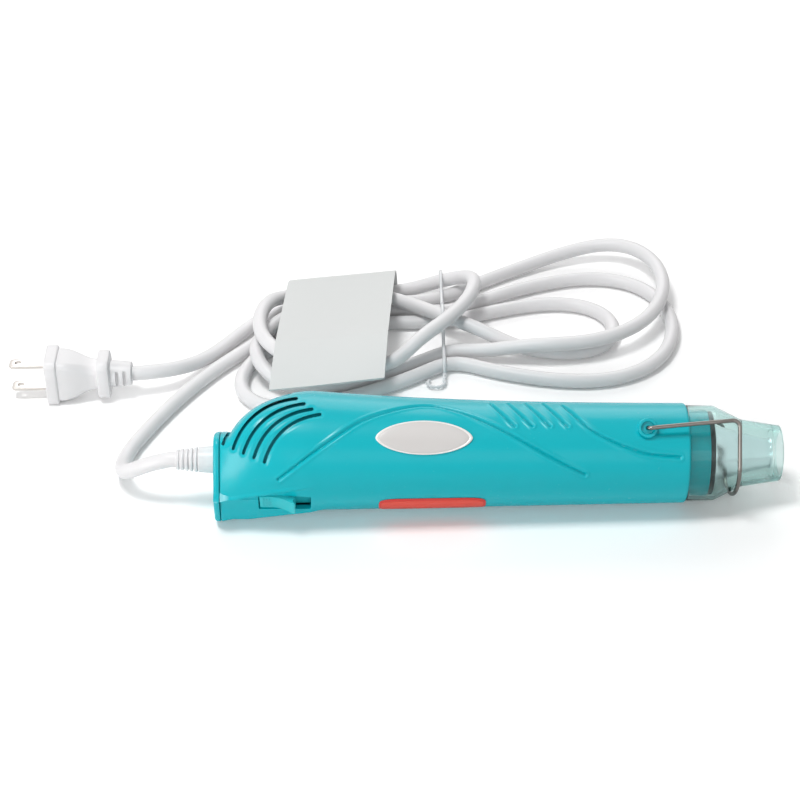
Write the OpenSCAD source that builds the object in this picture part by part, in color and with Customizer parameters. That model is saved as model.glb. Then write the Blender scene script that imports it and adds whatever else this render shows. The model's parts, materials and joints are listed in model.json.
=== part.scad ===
// Embossing heat tool: a slim hot-air gun for craft work, lying on its rear facet,
// with its mains lead bundled behind it. Millimetres, +Z up, nozzle towards +X.

/* [Housing] */
// Distance from the rear plate to the housing's front edge
body_l = 208.2; // [195:0.5:225]
// Radius of the housing at its front edge
front_r = 22.2; // [21.8:0.1:23]
// How much the radius grows for each millimetre towards the rear
taper = 0.0222; // [0.015:0.0001:0.026]
// Thickness of the moulded shell
wall = 2.2; // [1.8:0.1:2.5]
// Height of the hump above the axis
hump_h = 27.1; // [26:0.1:28.5]
// Place of the hump's highest point
hump_x = 44; // [42:0.5:47]
// Height of the rear plate's top edge above the axis
plate_h = 8.9; // [7:0.1:10]
// Depth of the keel below the axis at the rear
keel_h = 29.8; // [29:0.1:30.6]
// Thickness of the rear plate
plate_t = 2.6; // [2:0.1:3]
// Angle between the underside and each rear facet
facet_a = 36; // [32:1:40]

/* [Vents] */
// Number of cooling slots on each side
vent_n = 5; // [3:1:5]
// Width of a cooling slot
vent_w = 1.5; // [1.2:0.1:2.2]

/* [Nozzle] */
// Length of the shroud in front of the housing
shroud_l = 42.4; // [38:0.2:46]
// Outer radius of the shroud where it meets the housing
shroud_r = 21.3; // [20.8:0.1:21.5]
// Wall of the clear shroud
shroud_t = 2; // [1.6:0.1:2.2]
// Radius of the bore at the shroud's mouth
mouth_r = 10.3; // [9.4:0.1:10.8]
// Length of the bore at the shroud's mouth
mouth_l = 4; // [3:0.5:5]
// Radius of the heater barrel
barrel_r = 12.5; // [11.5:0.1:12.6]
// Wall of the metal parts of the heater
sheet_t = 0.6; // [0.4:0.1:0.8]
// Radius of the outlet cone at its tip
tip_r = 6.4; // [5.5:0.1:7.5]

/* [Stand] */
// Radius of the stand's wire
wire_r = 0.95; // [0.8:0.05:1.1]
// Distance of the hinge behind the housing's front edge
hinge_back = 18.9; // [17:0.5:22]
// Height of the hinge above the axis
hinge_h = 11.3; // [10.5:0.1:12]
// Half width of the loop under the nozzle
loop_r = 20.8; // [20.4:0.1:21.4]
// Distance from the hinge to the loop
loop_reach = 40.3; // [39:0.1:41]

/* [Switch] */
// Length of the opening for the thumb piece
switch_l = 23; // [22:0.5:25]
// Width of the opening for the thumb piece
switch_w = 9; // [8:0.1:9.4]
// Travel of the thumb piece
switch_travel = 6; // [4:0.5:6.5]

/* [Motor] */
// Radius of the motor can
motor_r = 12; // [10:0.1:13]
// Length of the motor can
motor_l = 22; // [18:0.5:24]
// Radius of the motor shaft
shaft_r = 1; // [0.8:0.05:1.5]
// Radius of the fan's blade tips
fan_r = 19.2; // [17:0.1:19.4]
// Number of fan blades
fan_n = 9; // [5:1:11]

/* [Lead] */
// Radius of the mains lead
cord_r = 3.5; // [3.2:0.05:3.6]
// Centre spacing of the two plug blades
blade_gap = 12.7; // [12.2:0.1:13.2]
// Length of the plug's blades
blade_l = 16; // [14:0.5:18]

/* [Hidden] */

$fn = 64;
TEAL = [0, 0.69, 0.74];
WHITE = [0.93, 0.93, 0.93];
STEEL = [0.72, 0.72, 0.73];
MICA = [0.78, 0.7, 0.55];
DARK = [0.1, 0.1, 0.11];
RED = [0.86, 0.25, 0.2];
COPPER = [0.8, 0.45, 0.25];

// General clearance between seated pieces, and running clearance of a pin in its hole
fit_gap = 0.3;
run_gap = 0.06;

// Place of the whole tool: it lies rolled onto a rear facet and slopes down to the front
pitch = atan(taper);
rear_d = front_r + taper * body_l;
relief_l = 17.5;
centre_x = (body_l + shroud_l - relief_l) / 2 + 0.03;
centre_y = -0.34;

// Working values of the housing
shell_x0 = plate_t + 0.4;
dome_l = 39;
plan_l = 52;
keel_flat_x = 15;
keel_slope = 0.119;
facet_end = hump_x - 2;
facet_fade = 10;
rear_power = 3;
crown_power = 2.6;
lip_t = 2;
lip_r = shroud_r - shroud_t;
shoulder_l = 12.7;
neck_l = 25;
neck_r = 15;
ring_angles = [0, 8, 14, 22, 31, 36, 45, 54, 63, 72, 81, 90,
    99, 108, 117, 126, 135, 144, 153, 162, 171, 180];
shell_x = [shell_x0, 5, 7, 8.6, 10.5, 13, 16, 20, 25, 31, 37, 42, 45, 48, 52, 60, 72, 88, 110, 140,
    175, body_l];

// Hinge, screws and cord entry
hinge_x = body_l - hinge_back;
boss_r = 4.35;
boss_y = 23;
leg_y = boss_y + wire_r + 0.35;
pin_in = 17.6;
screw_r = 1.4;
screw_head_r = 2.6;
screw_post_r = 3.6;
screw_places = [[54, 18], [54, -18], [176, 16.9], [176, -16.9]];
relief_r = 5.6;
cord_z = -3.6;
cord_in = 18;
clamp_x = 12;
clamp_span = 7.3;
clamp_t = 2.4;

// Motor and heater places along the axis
motor_x = 66;
bell_t = 2.5;
terminal_l = 4.5;
terminal_y = 6;
board_x = 19;
board_l = 30;
board_y = 3;
board_z = 0.6;
board_h = 17;
board_t = 1.6;
board_pegs = [[35, 4], [46, 11]];
peg_r = 0.9;
fan_x = motor_x + motor_l + 2.5;
fan_l = 12;
barrel_x0 = 117;
collar_l = 9.3;
collar_r = lip_r - 0.2;
insulator_t = 2.2;
barrel_x1 = body_l + collar_l + insulator_t;
cone_x1 = body_l + shroud_l - mouth_l;
mica_t = 0.45;
sleeve_r = barrel_r - sheet_t - 0.15;
cross_w = 8.4;
coil_r = 9.2;
coil_wire = 0.5;
coil_turns = 10;

// Switch frame: its Z axis is the near facet's outward normal
switch_x = 19.8;
switch_y = -2;
facet_d = rear_d - taper * (switch_x + switch_l / 2);
thumb_l = switch_l - switch_travel - 1.2;
thumb_w = switch_w - 0.8;
flange_top = facet_d - wall - 1.5;
flange_t = 1.1;
peg_w = 2;
switch_deep = 7;

// Badge and strip label
badge_x = 92;
badge_z = 6.8;
badge_a = 21.2;
badge_b = 7.4;
label_x0 = 72.5;
label_x1 = 119.5;
label_a0 = 8;
label_a1 = 37;

function unit(v) = v / norm(v);
function mix(a, b, t) = a + (b - a) * t;
function smooth(t) = let (u = max(0, min(1, t))) u * u * (3 - 2 * u);

// Distance from the axis to the plane that the tool lies on, also the taper's radius
function rest_d(x) = front_r + taper * (body_l - x);

// Half width, top height and ellipse depth of the housing at x
function half_w(x) = rest_d(x) * (x < hump_x ? sqrt(1 - pow((hump_x - x) / plan_l, 2)) : 1);
function dome_h(x) = hump_h * sqrt(max(0, 1 - pow((hump_x - x) / dome_l, 2)));
function crown_h(x) = front_r + (hump_h - front_r) * pow((body_l - x) / (body_l - hump_x), crown_power);
function top_h(x) = x < hump_x ? max(plate_h, dome_h(x)) : crown_h(x);
function deep_h(x) = sqrt(pow(rest_d(x), 2) - pow(half_w(x) * sin(facet_a), 2)) / cos(facet_a);
function keel_d(x) = max(deep_h(x), keel_h - keel_slope * max(0, x - keel_flat_x));
function round_n(x) = 2 + (rear_power - 2) * (1 - smooth((x - shell_x0) / (hump_x - shell_x0)));

// Radius of the section at x in the direction a, counted from straight down
function upper_r(x, a) = let (n = round_n(x))
    pow(pow(sin(a) / half_w(x), n) + pow(abs(cos(a)) / top_h(x), n), -1 / n);
function lower_r(x, a) = half_w(x) * deep_h(x)
    / sqrt(pow(deep_h(x) * sin(a), 2) + pow(half_w(x) * cos(a), 2));
function facet_r(x, a) = a < facet_a
    ? min(rest_d(x) / cos(facet_a - a), max(lower_r(x, a), keel_d(x) / cos(a)))
    : lower_r(x, a);
function keel_part(x) = 1 - smooth((x - facet_end) / facet_fade);
function shell_r(x, a) = a > 90 ? upper_r(x, a) : mix(lower_r(x, a), facet_r(x, a), keel_part(x));

// Half width of the housing at x and height z, for what lies on its side
function side_y(x, z) = z > 0
    ? half_w(x) * pow(1 - pow(z / top_h(x), round_n(x)), 1 / round_n(x))
    : half_w(x) * sqrt(1 - pow(z / deep_h(x), 2));

// Where a screw post at height q.y ends inside the shell's wall
function post_y(q) = side_y(q.x, q.y + sign(q.y) * screw_post_r) - 0.3;

// Smooth curve through points, with a number of steps between each pair
function spline_at(a, b, c, d, t) = 0.5 * (2 * b + (c - a) * t + (2 * a - 5 * b + 4 * c - d) * t * t
    + (3 * b - a - 3 * c + d) * t * t * t);
function curve(p, steps) = let (n = len(p)) concat(
    [for (i = [0:n - 2], k = [0:steps - 1])
        spline_at(i > 0 ? p[i - 1] : 2 * p[0] - p[1], p[i], p[i + 1],
            i < n - 2 ? p[i + 2] : 2 * p[n - 1] - p[n - 2], k / steps)],
    [p[n - 1]]);

// Swept tube: a ring of sides at each point of the path, closed at both ends
function heading(p, i) = unit(p[min(i + 1, len(p) - 1)] - p[max(i - 1, 0)]);
function across(v, t) = unit(v - (v * t) * t);
function ring_sides(p, up) = [for (i = 0, s = across(up, heading(p, 0)); i < len(p);
    i = i + 1, s = i < len(p) ? across(s, heading(p, i)) : s) s];
module tube(path, r, sides, up = [0, 0, 1]) {
    n = len(path);
    ups = ring_sides(path, up);
    points = [for (i = [0:n - 1], k = [0:sides - 1])
        let (a = 360 * k / sides, t = heading(path, i))
        path[i] + r * (cos(a) * ups[i] + sin(a) * cross(t, ups[i]))];
    walls = [for (i = [0:n - 2], k = [0:sides - 1])
        let (a = i * sides + k, b = i * sides + (k + 1) % sides)
        each [[a, a + sides, b], [b, a + sides, b + sides]]];
    polyhedron(points, concat(walls, [[for (k = [0:sides - 1]) k]],
        [[for (k = [sides - 1:-1:0]) (n - 1) * sides + k]]));
}

// Straight exact rod between two points
module rod(a, b, r) {
    v = b - a;
    translate(a) rotate([0, acos(v.z / norm(v)), atan2(v.y, v.x)]) cylinder(r = r, h = norm(v));
}

// Ring or disc whose axis is the tool's axis
module disc(x0, x1, r_out, r_in = 0) {
    translate([x0, 0, 0]) rotate([0, 90, 0]) difference() {
        cylinder(r = r_out, h = x1 - x0);
        if (r_in > 0) translate([0, 0, -1]) cylinder(r = r_in, h = x1 - x0 + 2);
    }
}

// Revolved profile about the tool's axis, from points [x, radius]
module turned(profile) {
    rotate([0, 90, 0]) rotate([0, 0, 90]) rotate_extrude($fn = 96)
        polygon([for (p = profile) [p.y, p.x]]);
}

// Curved plate on a surface given by f(u, v, offset), from offset lo to hi
module patch(f, nu, nv, lo, hi) {
    grid = function(o) [for (i = [0:nu], j = [0:nv]) f(i / nu, j / nv, o)];
    m = (nu + 1) * (nv + 1);
    at = function(i, j, s) s * m + i * (nv + 1) + j;
    quad = function(a, b, c, d) [[a, b, c], [a, c, d]];
    faces = concat(
        [for (i = [0:nu - 1], j = [0:nv - 1]) each quad(at(i, j, 1), at(i + 1, j, 1),
            at(i + 1, j + 1, 1), at(i, j + 1, 1))],
        [for (i = [0:nu - 1], j = [0:nv - 1]) each quad(at(i, j + 1, 0), at(i + 1, j + 1, 0),
            at(i + 1, j, 0), at(i, j, 0))],
        [for (i = [0:nu - 1]) each quad(at(i, 0, 0), at(i + 1, 0, 0), at(i + 1, 0, 1), at(i, 0, 1))],
        [for (i = [0:nu - 1]) each quad(at(i, nv, 1), at(i + 1, nv, 1), at(i + 1, nv, 0), at(i, nv, 0))],
        [for (j = [0:nv - 1]) each quad(at(0, j + 1, 0), at(0, j, 0), at(0, j, 1), at(0, j + 1, 1))],
        [for (j = [0:nv - 1]) each quad(at(nu, j, 0), at(nu, j + 1, 0), at(nu, j + 1, 1), at(nu, j, 1))]);
    polyhedron(concat(grid(lo), grid(hi)), faces);
}

// The tool's pose on the table
module laid() {
    translate([-centre_x, -centre_y, rear_d * cos(pitch)]) rotate([-facet_a, pitch, 0]) children();
}

// Places things on the near facet, with Z as the outward normal
module on_near_facet() {
    rotate([180 - facet_a, 0, 0]) children();
}

// One half of the moulded shell, side -1 near and +1 far, as a loft with its wall
module half_shell(side) {
    m = len(ring_angles);
    n = len(shell_x);
    spot = function(x, a, r) [x, side * r * sin(a), -r * cos(a)];
    points = [for (x = shell_x) each concat(
        [for (a = ring_angles) spot(x, a, shell_r(x, a))],
        [for (k = [m - 1:-1:0]) spot(x, ring_angles[k], shell_r(x, ring_angles[k]) - wall)])];
    loop = 2 * m;
    walls = [for (i = [0:n - 2], k = [0:loop - 1])
        let (a = i * loop + k, b = i * loop + (k + 1) % loop)
        each [[a, a + loop, b], [b, a + loop, b + loop]]];
    ends = concat([for (k = [0:m - 2]) let (q = loop - 1 - k) each [[k, k + 1, q - 1], [k, q - 1, q]]],
        [for (k = [0:m - 2]) let (o = (n - 1) * loop, q = loop - 1 - k)
            each [[o + k, o + q - 1, o + k + 1], [o + k, o + q, o + q - 1]]]);
    faces = concat(walls, ends);
    polyhedron(points, side < 0 ? [for (f = faces) [f[2], f[1], f[0]]] : faces);
}

// Cooling slots: nested arcs that grow towards the rear, cut straight through the side
vent_a = [22.9, -3.9];
vent_b = [46.7, 16.7];
vent_step_a = [-4.6, 1.9];
vent_step_b = [-3.5, 2.3];
vent_bow = 0.16;
function vent_path(i, off) = let (a = vent_a + i * vent_step_a, b = vent_b + i * vent_step_b,
    c = b - a, up = [-c.y, c.x] / norm(c), steps = 8)
    [for (k = [0:steps]) let (t = k / steps)
        a + c * t + up * (vent_bow * norm(c) * 4 * t * (1 - t) + off)];
module vent_cuts(side) {
    for (i = [0:vent_n - 1]) {
        outer = vent_path(i, vent_w / 2);
        inner = vent_path(i, -vent_w / 2);
        outline = concat(outer, [for (k = [len(inner) - 1:-1:0]) inner[k]]);
        mirror([0, side > 0 ? 1 : 0, 0]) translate([0, -3, 0]) rotate([90, 0, 0])
            linear_extrude(height = 40) polygon(outline);
    }
}

// Relief lines in the side: a long sweep over the badge, a short one behind the nozzle, four dashes
sweep_long = [[29, -11.5], [49, 3.5], [67, 14.8], [89, 20.4], [106, 18.4], [126, 10.3], [147, -1.6],
    [162, -9.2]];
sweep_short = [[153.6, 20.6], [167, 9.2], [187, 0.5], [203.4, -1.5]];
dash_n = 4;
dash_x = 121.8;
dash_step = 7.75;
dash_run = [9.6, -9.4];
dash_z = 21.4;
groove_r = 0.9;
groove_out = 0.4;
function on_side(side, q) = [q.x, side * (side_y(q.x, q.y) + groove_out), q.y];
module relief_cuts(side) {
    up = [0, side, 0];
    tube([for (q = curve(sweep_long, 3)) on_side(side, q)], groove_r, 6, up);
    tube([for (q = curve(sweep_short, 3)) on_side(side, q)], groove_r, 6, up);
    for (k = [0:dash_n - 1])
        tube([for (t = [0, 0.5, 1]) on_side(side, [dash_x + k * dash_step, dash_z] + dash_run * t)],
            groove_r * 0.9, 6, up);
}

// Front lip that the shroud butts against and the collar passes through
module front_lip(side) {
    translate([body_l - lip_t, 0, 0]) rotate([0, 90, 0]) rotate([0, 0, side > 0 ? 0 : 180])
        rotate_extrude(angle = 180, $fn = 96)
            translate([lip_r, 0]) square([front_r - 0.6 - lip_r, lip_t]);
}

module hinge_boss(side) {
    rod([hinge_x, side * pin_in, hinge_h], [hinge_x, side * boss_y, hinge_h], boss_r);
}

module hinge_bore(side) {
    rod([hinge_x, side * (pin_in - 1), hinge_h], [hinge_x, side * (boss_y + 1), hinge_h],
        wire_r + run_gap);
}

module housing_near() {
    color(TEAL) laid() difference() {
        union() {
            half_shell(-1);
            front_lip(-1);
            hinge_boss(-1);
            for (q = screw_places)
                rod([q.x, 0, q.y], [q.x, -post_y(q), q.y], screw_post_r);
            on_near_facet() for (e = [-1, 1])
                translate([switch_x + 4, switch_y + e * (switch_w / 2 + 1.9) - 0.8, facet_d - 11])
                    cube([14, 1.6, e > 0 ? 9.9 : 8.2]);
        }
        vent_cuts(-1);
        relief_cuts(-1);
        hinge_bore(-1);
        for (q = screw_places)
            rod([q.x, 1, q.y], [q.x, -9, q.y], screw_r + 0.05);
        on_near_facet() translate([switch_x, switch_y - switch_w / 2, facet_d - wall - 0.6])
            cube([switch_l, switch_w, wall + 4]);
    }
}

module housing_far() {
    color(TEAL) laid() difference() {
        union() {
            half_shell(1);
            front_lip(1);
            hinge_boss(1);
            for (q = screw_places)
                rod([q.x, 0, q.y], [q.x, post_y(q), q.y], screw_post_r);
            for (e = [-1, 1])
                rod([clamp_x, -cord_r - 0.3, cord_z + e * clamp_span],
                    [clamp_x, half_w(clamp_x) - wall - 0.2, cord_z + e * clamp_span], 2.6);
            for (q = board_pegs) {
                rod([q.x, board_y + board_t, q.y], [q.x, post_y(q), q.y], 2);
                rod([q.x, board_y - 0.4, q.y], [q.x, board_y + board_t + 1, q.y], peg_r);
            }
        }
        vent_cuts(1);
        relief_cuts(1);
        hinge_bore(1);
        for (q = screw_places) {
            rod([q.x, -1, q.y], [q.x, 30, q.y], screw_r + 0.2);
            rod([q.x, 4, q.y], [q.x, 30, q.y], screw_head_r + 0.2);
        }
        for (e = [-1, 1])
            rod([clamp_x, -cord_r - 1, cord_z + e * clamp_span],
                [clamp_x, 6, cord_z + e * clamp_span], 1.15);
    }
}

// Rear plate with rounded rim and a spigot inside the housing
cap_angles = concat(ring_angles, [for (k = [len(ring_angles) - 2:-1:1]) 360 - ring_angles[k]]);
cap_stations = [[0, 0.93, 0], [0.9, 0.985, 0], [plate_t, 1, 0], [plate_t, 1, wall + fit_gap],
    [plate_t + 3.4, 1, wall + fit_gap]];
module rear_cap() {
    m = len(cap_angles);
    n = len(cap_stations);
    points = [for (s = cap_stations, a = cap_angles)
        let (b = a > 180 ? 360 - a : a, r = shell_r(shell_x0, b) * s[1] - s[2])
        [s.x, r * sin(a), -r * cos(a)]];
    walls = [for (i = [0:n - 2], k = [0:m - 1]) let (a = i * m + k, b = i * m + (k + 1) % m)
        each [[a, a + m, b], [b, a + m, b + m]]];
    color(TEAL) laid() difference() {
        polyhedron(points, concat(walls, [[for (k = [0:m - 1]) k]],
            [[for (k = [m - 1:-1:0]) (n - 1) * m + k]]));
        translate([0, 0, cord_z]) disc(-1, 8, relief_r - 0.9);
    }
}

module front_collar() {
    flange_r = front_r - wall - 0.1;
    color(TEAL) laid() turned([[body_l - 5.4, barrel_r + fit_gap], [body_l + collar_l, barrel_r + fit_gap],
        [body_l + collar_l, collar_r - 0.6], [body_l + collar_l - 0.6, collar_r],
        [body_l - lip_t - 0.3, collar_r], [body_l - lip_t - 0.3, flange_r], [body_l - 5.4, flange_r]]);
}

module nozzle_shroud() {
    x = body_l;
    color([0.7, 0.95, 0.88, 0.4]) laid() turned([[x, shroud_r], [x + shoulder_l, shroud_r - 0.2],
        [x + neck_l, neck_r], [x + shroud_l - mouth_l, mouth_r + 2.6], [x + shroud_l, mouth_r + 2.1],
        [x + shroud_l, mouth_r], [x + shroud_l - mouth_l, mouth_r],
        [x + shroud_l - mouth_l, mouth_r + 2.6 - shroud_t], [x + neck_l, neck_r - shroud_t],
        [x + shoulder_l, lip_r - 0.04], [x, lip_r]]);
}

module outlet_cone() {
    x0 = barrel_x1;
    color(STEEL) laid() turned([[x0, barrel_r - sheet_t], [x0, barrel_r + 3.4], [x0 + 0.8, barrel_r + 3.4],
        [x0 + 0.8, barrel_r], [cone_x1, tip_r], [cone_x1, tip_r - sheet_t],
        [x0 + 0.8, barrel_r - sheet_t]]);
}

module insulator_ring() {
    color(DARK) laid() disc(body_l + collar_l, barrel_x1, collar_r - 0.6, barrel_r + fit_gap);
}

module heater_barrel() {
    color(STEEL) laid() disc(barrel_x0, barrel_x1, barrel_r, barrel_r - sheet_t);
}

module spider(x0, x1, rim_r, hub_r, hub_wall, arms, turn) {
    disc(x0, x1, rim_r, rim_r - 2);
    disc(x0, x1, hub_r + hub_wall, hub_r);
    for (k = [0:arms - 1])
        rotate([turn + k * 360 / arms, 0, 0])
            translate([x0, -1.2, hub_r + hub_wall - 0.5])
                cube([x1 - x0, 2.4, rim_r - hub_r - hub_wall - 0.8]);
}

lead_y = 21;
module lead_notch(x0, x1) {
    translate([x0 - 1, lead_y - 1.6, -3.6]) cube([x1 - x0 + 2, 4, 7.2]);
}

module heater_bracket() {
    x0 = barrel_x0;
    x1 = barrel_x0 + 3;
    color(STEEL) laid() difference() {
        spider(x0, x1, rest_d(x1) - wall - fit_gap - 0.7, barrel_r + 0.1, 1, 3, 30);
        lead_notch(x0, x1);
    }
}

module mica_sleeve() {
    color(MICA) laid() disc(barrel_x0 + 2, barrel_x1 - 2, sleeve_r, sleeve_r - mica_t);
}

cross_x0 = barrel_x0 + 3;
cross_x1 = barrel_x1 - 6;
module mica_cross() {
    lug = sleeve_r - mica_t - 0.2;
    color(MICA) laid() for (a = [0, 90]) rotate([a, 0, 0]) {
        translate([cross_x0, -0.3, -cross_w]) cube([cross_x1 - cross_x0, 0.6, 2 * cross_w]);
        for (x = [cross_x0, cross_x1 - 4])
            translate([x, -0.3, -lug]) cube([4, 0.6, 2 * lug]);
    }
}

coil_x0 = cross_x0 + 9;
coil_x1 = cross_x1 - 8;
module heating_coil() {
    per_turn = 12;
    steps = per_turn * coil_turns;
    color(COPPER) laid() tube([for (k = [0:steps]) let (a = 360 * k / per_turn)
        [mix(coil_x0, coil_x1, k / steps), coil_r * cos(a), coil_r * sin(a)]], coil_wire, 6, [1, 0, 0]);
}

module thermal_cutout() {
    color(DARK) laid() translate([cross_x0 + 1, 0.3, 0.9]) cube([5, 3, 5.5]);
}

module motor_can() {
    color(STEEL) laid() difference() {
        turned([[motor_x, 0], [motor_x, motor_r], [motor_x + motor_l - 1, motor_r],
            [motor_x + motor_l, motor_r - 1], [motor_x + motor_l, 0]]);
        disc(motor_x - 1, motor_x + motor_l + 1, shaft_r + run_gap);
    }
}

module motor_end_bell() {
    color(DARK) laid() difference() {
        union() {
            disc(motor_x - bell_t, motor_x, motor_r - 0.5);
            for (e = [-1, 1])
                translate([motor_x - bell_t - terminal_l, e * terminal_y - 1.5, -0.3])
                    cube([terminal_l + 0.5, 3, 0.6]);
        }
        disc(motor_x - bell_t - 1, motor_x + 1, shaft_r + run_gap);
    }
}

module motor_shaft() {
    color(STEEL) laid() disc(motor_x - bell_t - 1, fan_x + fan_l + 1, shaft_r);
}

module fan_impeller() {
    color([0.2, 0.2, 0.22]) laid() difference() {
        union() {
            disc(fan_x, fan_x + fan_l, 7);
            intersection() {
                disc(fan_x, fan_x + fan_l, fan_r);
                for (k = [0:fan_n - 1])
                    rotate([k * 360 / fan_n, 0, 0]) translate([fan_x + fan_l / 2, 0, 6])
                        rotate([0, 0, 38]) translate([-fan_l, -0.6, 0]) cube([2 * fan_l, 1.2, 20]);
            }
        }
        disc(fan_x - 1, fan_x + fan_l + 1, shaft_r + 0.03);
    }
}

module motor_bracket() {
    x0 = motor_x + 1;
    x1 = motor_x + 6;
    color([0.85, 0.85, 0.82]) laid() difference() {
        spider(x0, x1, min(rest_d(x1), crown_h(x1)) - wall - fit_gap, motor_r + 0.1, 1.6, 4, 45);
        lead_notch(x0, x1);
    }
}

module rectifier_board() {
    color([0.1, 0.4, 0.2]) laid() difference() {
        translate([board_x, board_y, board_z]) cube([board_l, board_t, board_h]);
        for (q = board_pegs)
            rod([q.x, board_y - 1, q.y], [q.x, board_y + board_t + 1, q.y], peg_r + run_gap);
    }
}

module diodes() {
    diode_r = 1.35;
    diode_l = 4.4;
    color(DARK) laid() for (x = [20, 24], z = [8, 13.5])
        rod([board_x + x, board_y - diode_r - 0.05, board_z + z - diode_l / 2],
            [board_x + x, board_y - diode_r - 0.05, board_z + z + diode_l / 2], diode_r);
}

module switch_body() {
    top = flange_top - flange_t - fit_gap;
    color(DARK) laid() on_near_facet() difference() {
        translate([switch_x + 1, switch_y - switch_w / 2 - 0.9, top - switch_deep])
            cube([switch_l - 2, switch_w + 1.8, switch_deep]);
        translate([switch_x + 5, switch_y - peg_w / 2 - 0.3, top - 3.2])
            cube([switch_travel + peg_w + 2, peg_w + 0.6, 5]);
    }
}

// Thumb piece: slider under the wall, cap through the opening, raised curved fin at its front end
module switch_thumb() {
    x0 = switch_x + 0.5;
    y0 = switch_y - thumb_w / 2;
    body_top = facet_d - 0.5;
    fin_r = 9;
    color(TEAL) laid() on_near_facet() union() {
        translate([x0, y0, flange_top - flange_t])
            cube([thumb_l, thumb_w, body_top - flange_top + flange_t]);
        translate([x0 - 0.2, y0 - 1.2, flange_top - flange_t])
            cube([thumb_l - 0.4, thumb_w + 2.4, flange_t]);
        translate([switch_x + 6, switch_y - peg_w / 2, flange_top - flange_t - fit_gap - 2.6])
            cube([peg_w, peg_w, 3.5]);
        translate([0, y0 + thumb_w, body_top - 0.5]) rotate([90, 0, 0]) linear_extrude(height = thumb_w)
            polygon(concat([[x0 + thumb_l - 10, 0]],
                [for (a = [0:10:60])
                    [x0 + thumb_l - 1.4 - fin_r * (1 - sin(a)) * 0.75, 0.6 + 3.6 * (1 - cos(a)) / 0.5]],
                [[x0 + thumb_l, 4.1], [x0 + thumb_l, 0]]));
    }
}

module switch_terminals() {
    bottom = flange_top - flange_t - fit_gap - switch_deep;
    color(COPPER) laid() on_near_facet() for (x = [6, 11.5, 17])
        translate([switch_x + x - 1, switch_y - 0.3, bottom - 4]) cube([2, 0.6, 4]);
}

// Ribbed sleeve: collar outside the rear plate, ribs towards the lead, neck and flange inside
module strain_relief() {
    ribs = 5;
    rib_x0 = -7.4;
    pitch_x = (relief_l + rib_x0) / ribs;
    bore = cord_r + 0.05;
    ribbed = [for (k = [0:ribs - 1]) let (x = rib_x0 - k * pitch_x, r = relief_r - 0.24 * k,
        v = max(bore + 0.45, r - 1.1))
        each [[x, v], [x - 0.5, v], [x - 0.5, r], [x - pitch_x + 0.2, r], [x - pitch_x + 0.2, v]]];
    inside = plate_t + 3.4;
    color(WHITE) laid() translate([0, 0, cord_z]) turned(concat(
        [[-relief_l, bore], [inside + 1.5, bore], [inside + 1.5, 6.6], [inside + 0.1, 6.6],
            [inside + 0.1, relief_r - 1], [-0.1, relief_r - 1], [-0.1, relief_r + 0.5], [rib_x0, relief_r]],
        ribbed, [[-relief_l, bore + 0.45]]));
}

module cord_entry() {
    color(WHITE) laid() translate([0, 0, cord_z]) disc(-relief_l, cord_in, cord_r);
}

module cord_clamp() {
    color(STEEL) laid() difference() {
        translate([clamp_x - 3, -cord_r - 0.3 - clamp_t, cord_z - clamp_span - 3])
            cube([6, clamp_t, 2 * clamp_span + 6]);
        for (e = [-1, 1])
            rod([clamp_x, 0, cord_z + e * clamp_span], [clamp_x, -10, cord_z + e * clamp_span], 1.3);
    }
}

module clamp_screws() {
    y0 = -cord_r - 0.3 - clamp_t;
    color(STEEL) laid() for (e = [-1, 1]) {
        rod([clamp_x, y0, cord_z + e * clamp_span], [clamp_x, 4, cord_z + e * clamp_span], 1.1);
        rod([clamp_x, y0 - 1.8, cord_z + e * clamp_span], [clamp_x, y0, cord_z + e * clamp_span], 2.2);
    }
}

module housing_screws() {
    color(STEEL) laid() for (q = screw_places) {
        rod([q.x, -8, q.y], [q.x, 4, q.y], screw_r);
        difference() {
            rod([q.x, 4, q.y], [q.x, 6, q.y], screw_head_r);
            rod([q.x, 5, q.y], [q.x, 7, q.y], 0.9, $fn = 6);
        }
    }
}

// Wire stand: pins in both bosses, legs that draw in, corners, and a half loop under the nozzle
corner_r = 3;
loop_x = hinge_x + loop_reach;
corner_z = 14.6;
loop_side = 5;
loop_drop = 18.3;
function stand_half(side) = concat(
    [[hinge_x, side * (leg_y - 2.6), hinge_h]],
    [for (a = [90:-30:0]) [hinge_x + 1.6 - 1.6 * sin(a), side * (leg_y - 1.6 + 1.6 * cos(a)), hinge_h]],
    curve([[hinge_x + 4, side * leg_y, hinge_h + 0.3],
        [hinge_x + 18, side * (leg_y - 0.2), mix(hinge_h, corner_z, 0.5)],
        [hinge_x + 31, side * (leg_y - 1.1), mix(hinge_h, corner_z, 0.85)],
        [loop_x - corner_r, side * loop_r, corner_z]], 3),
    [for (a = [30:30:90]) [loop_x - corner_r + corner_r * sin(a), side * loop_r,
        corner_z - corner_r * (1 - cos(a))]],
    [[loop_x, side * loop_r, 2]],
    [for (a = [0:15:75]) [loop_x, side * loop_r * cos(a), -loop_side - (loop_drop - loop_side) * sin(a)]]);
module wire_stand() {
    near = stand_half(-1);
    far = stand_half(1);
    path = concat(near, [[loop_x, 0, -loop_drop]], [for (k = [len(far) - 1:-1:0]) far[k]]);
    color(STEEL) laid() {
        tube(path, wire_r - 0.02, 10, [1, 0, 1]);
        for (side = [-1, 1])
            rod([hinge_x, side * (pin_in + 0.4), hinge_h],
                [hinge_x, side * (leg_y - 1.6), hinge_h], wire_r);
    }
}

module badge() {
    f = function(u, v, o) let (a = 88 * (2 * u - 1), x = badge_x + badge_a * sin(a) / sin(88),
        z = badge_z + badge_b * (2 * v - 1) * cos(a)) [x, -side_y(x, z) - o, z];
    color([0.85, 0.83, 0.82]) laid() patch(f, 16, 6, 0.12, 0.8);
}

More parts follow.
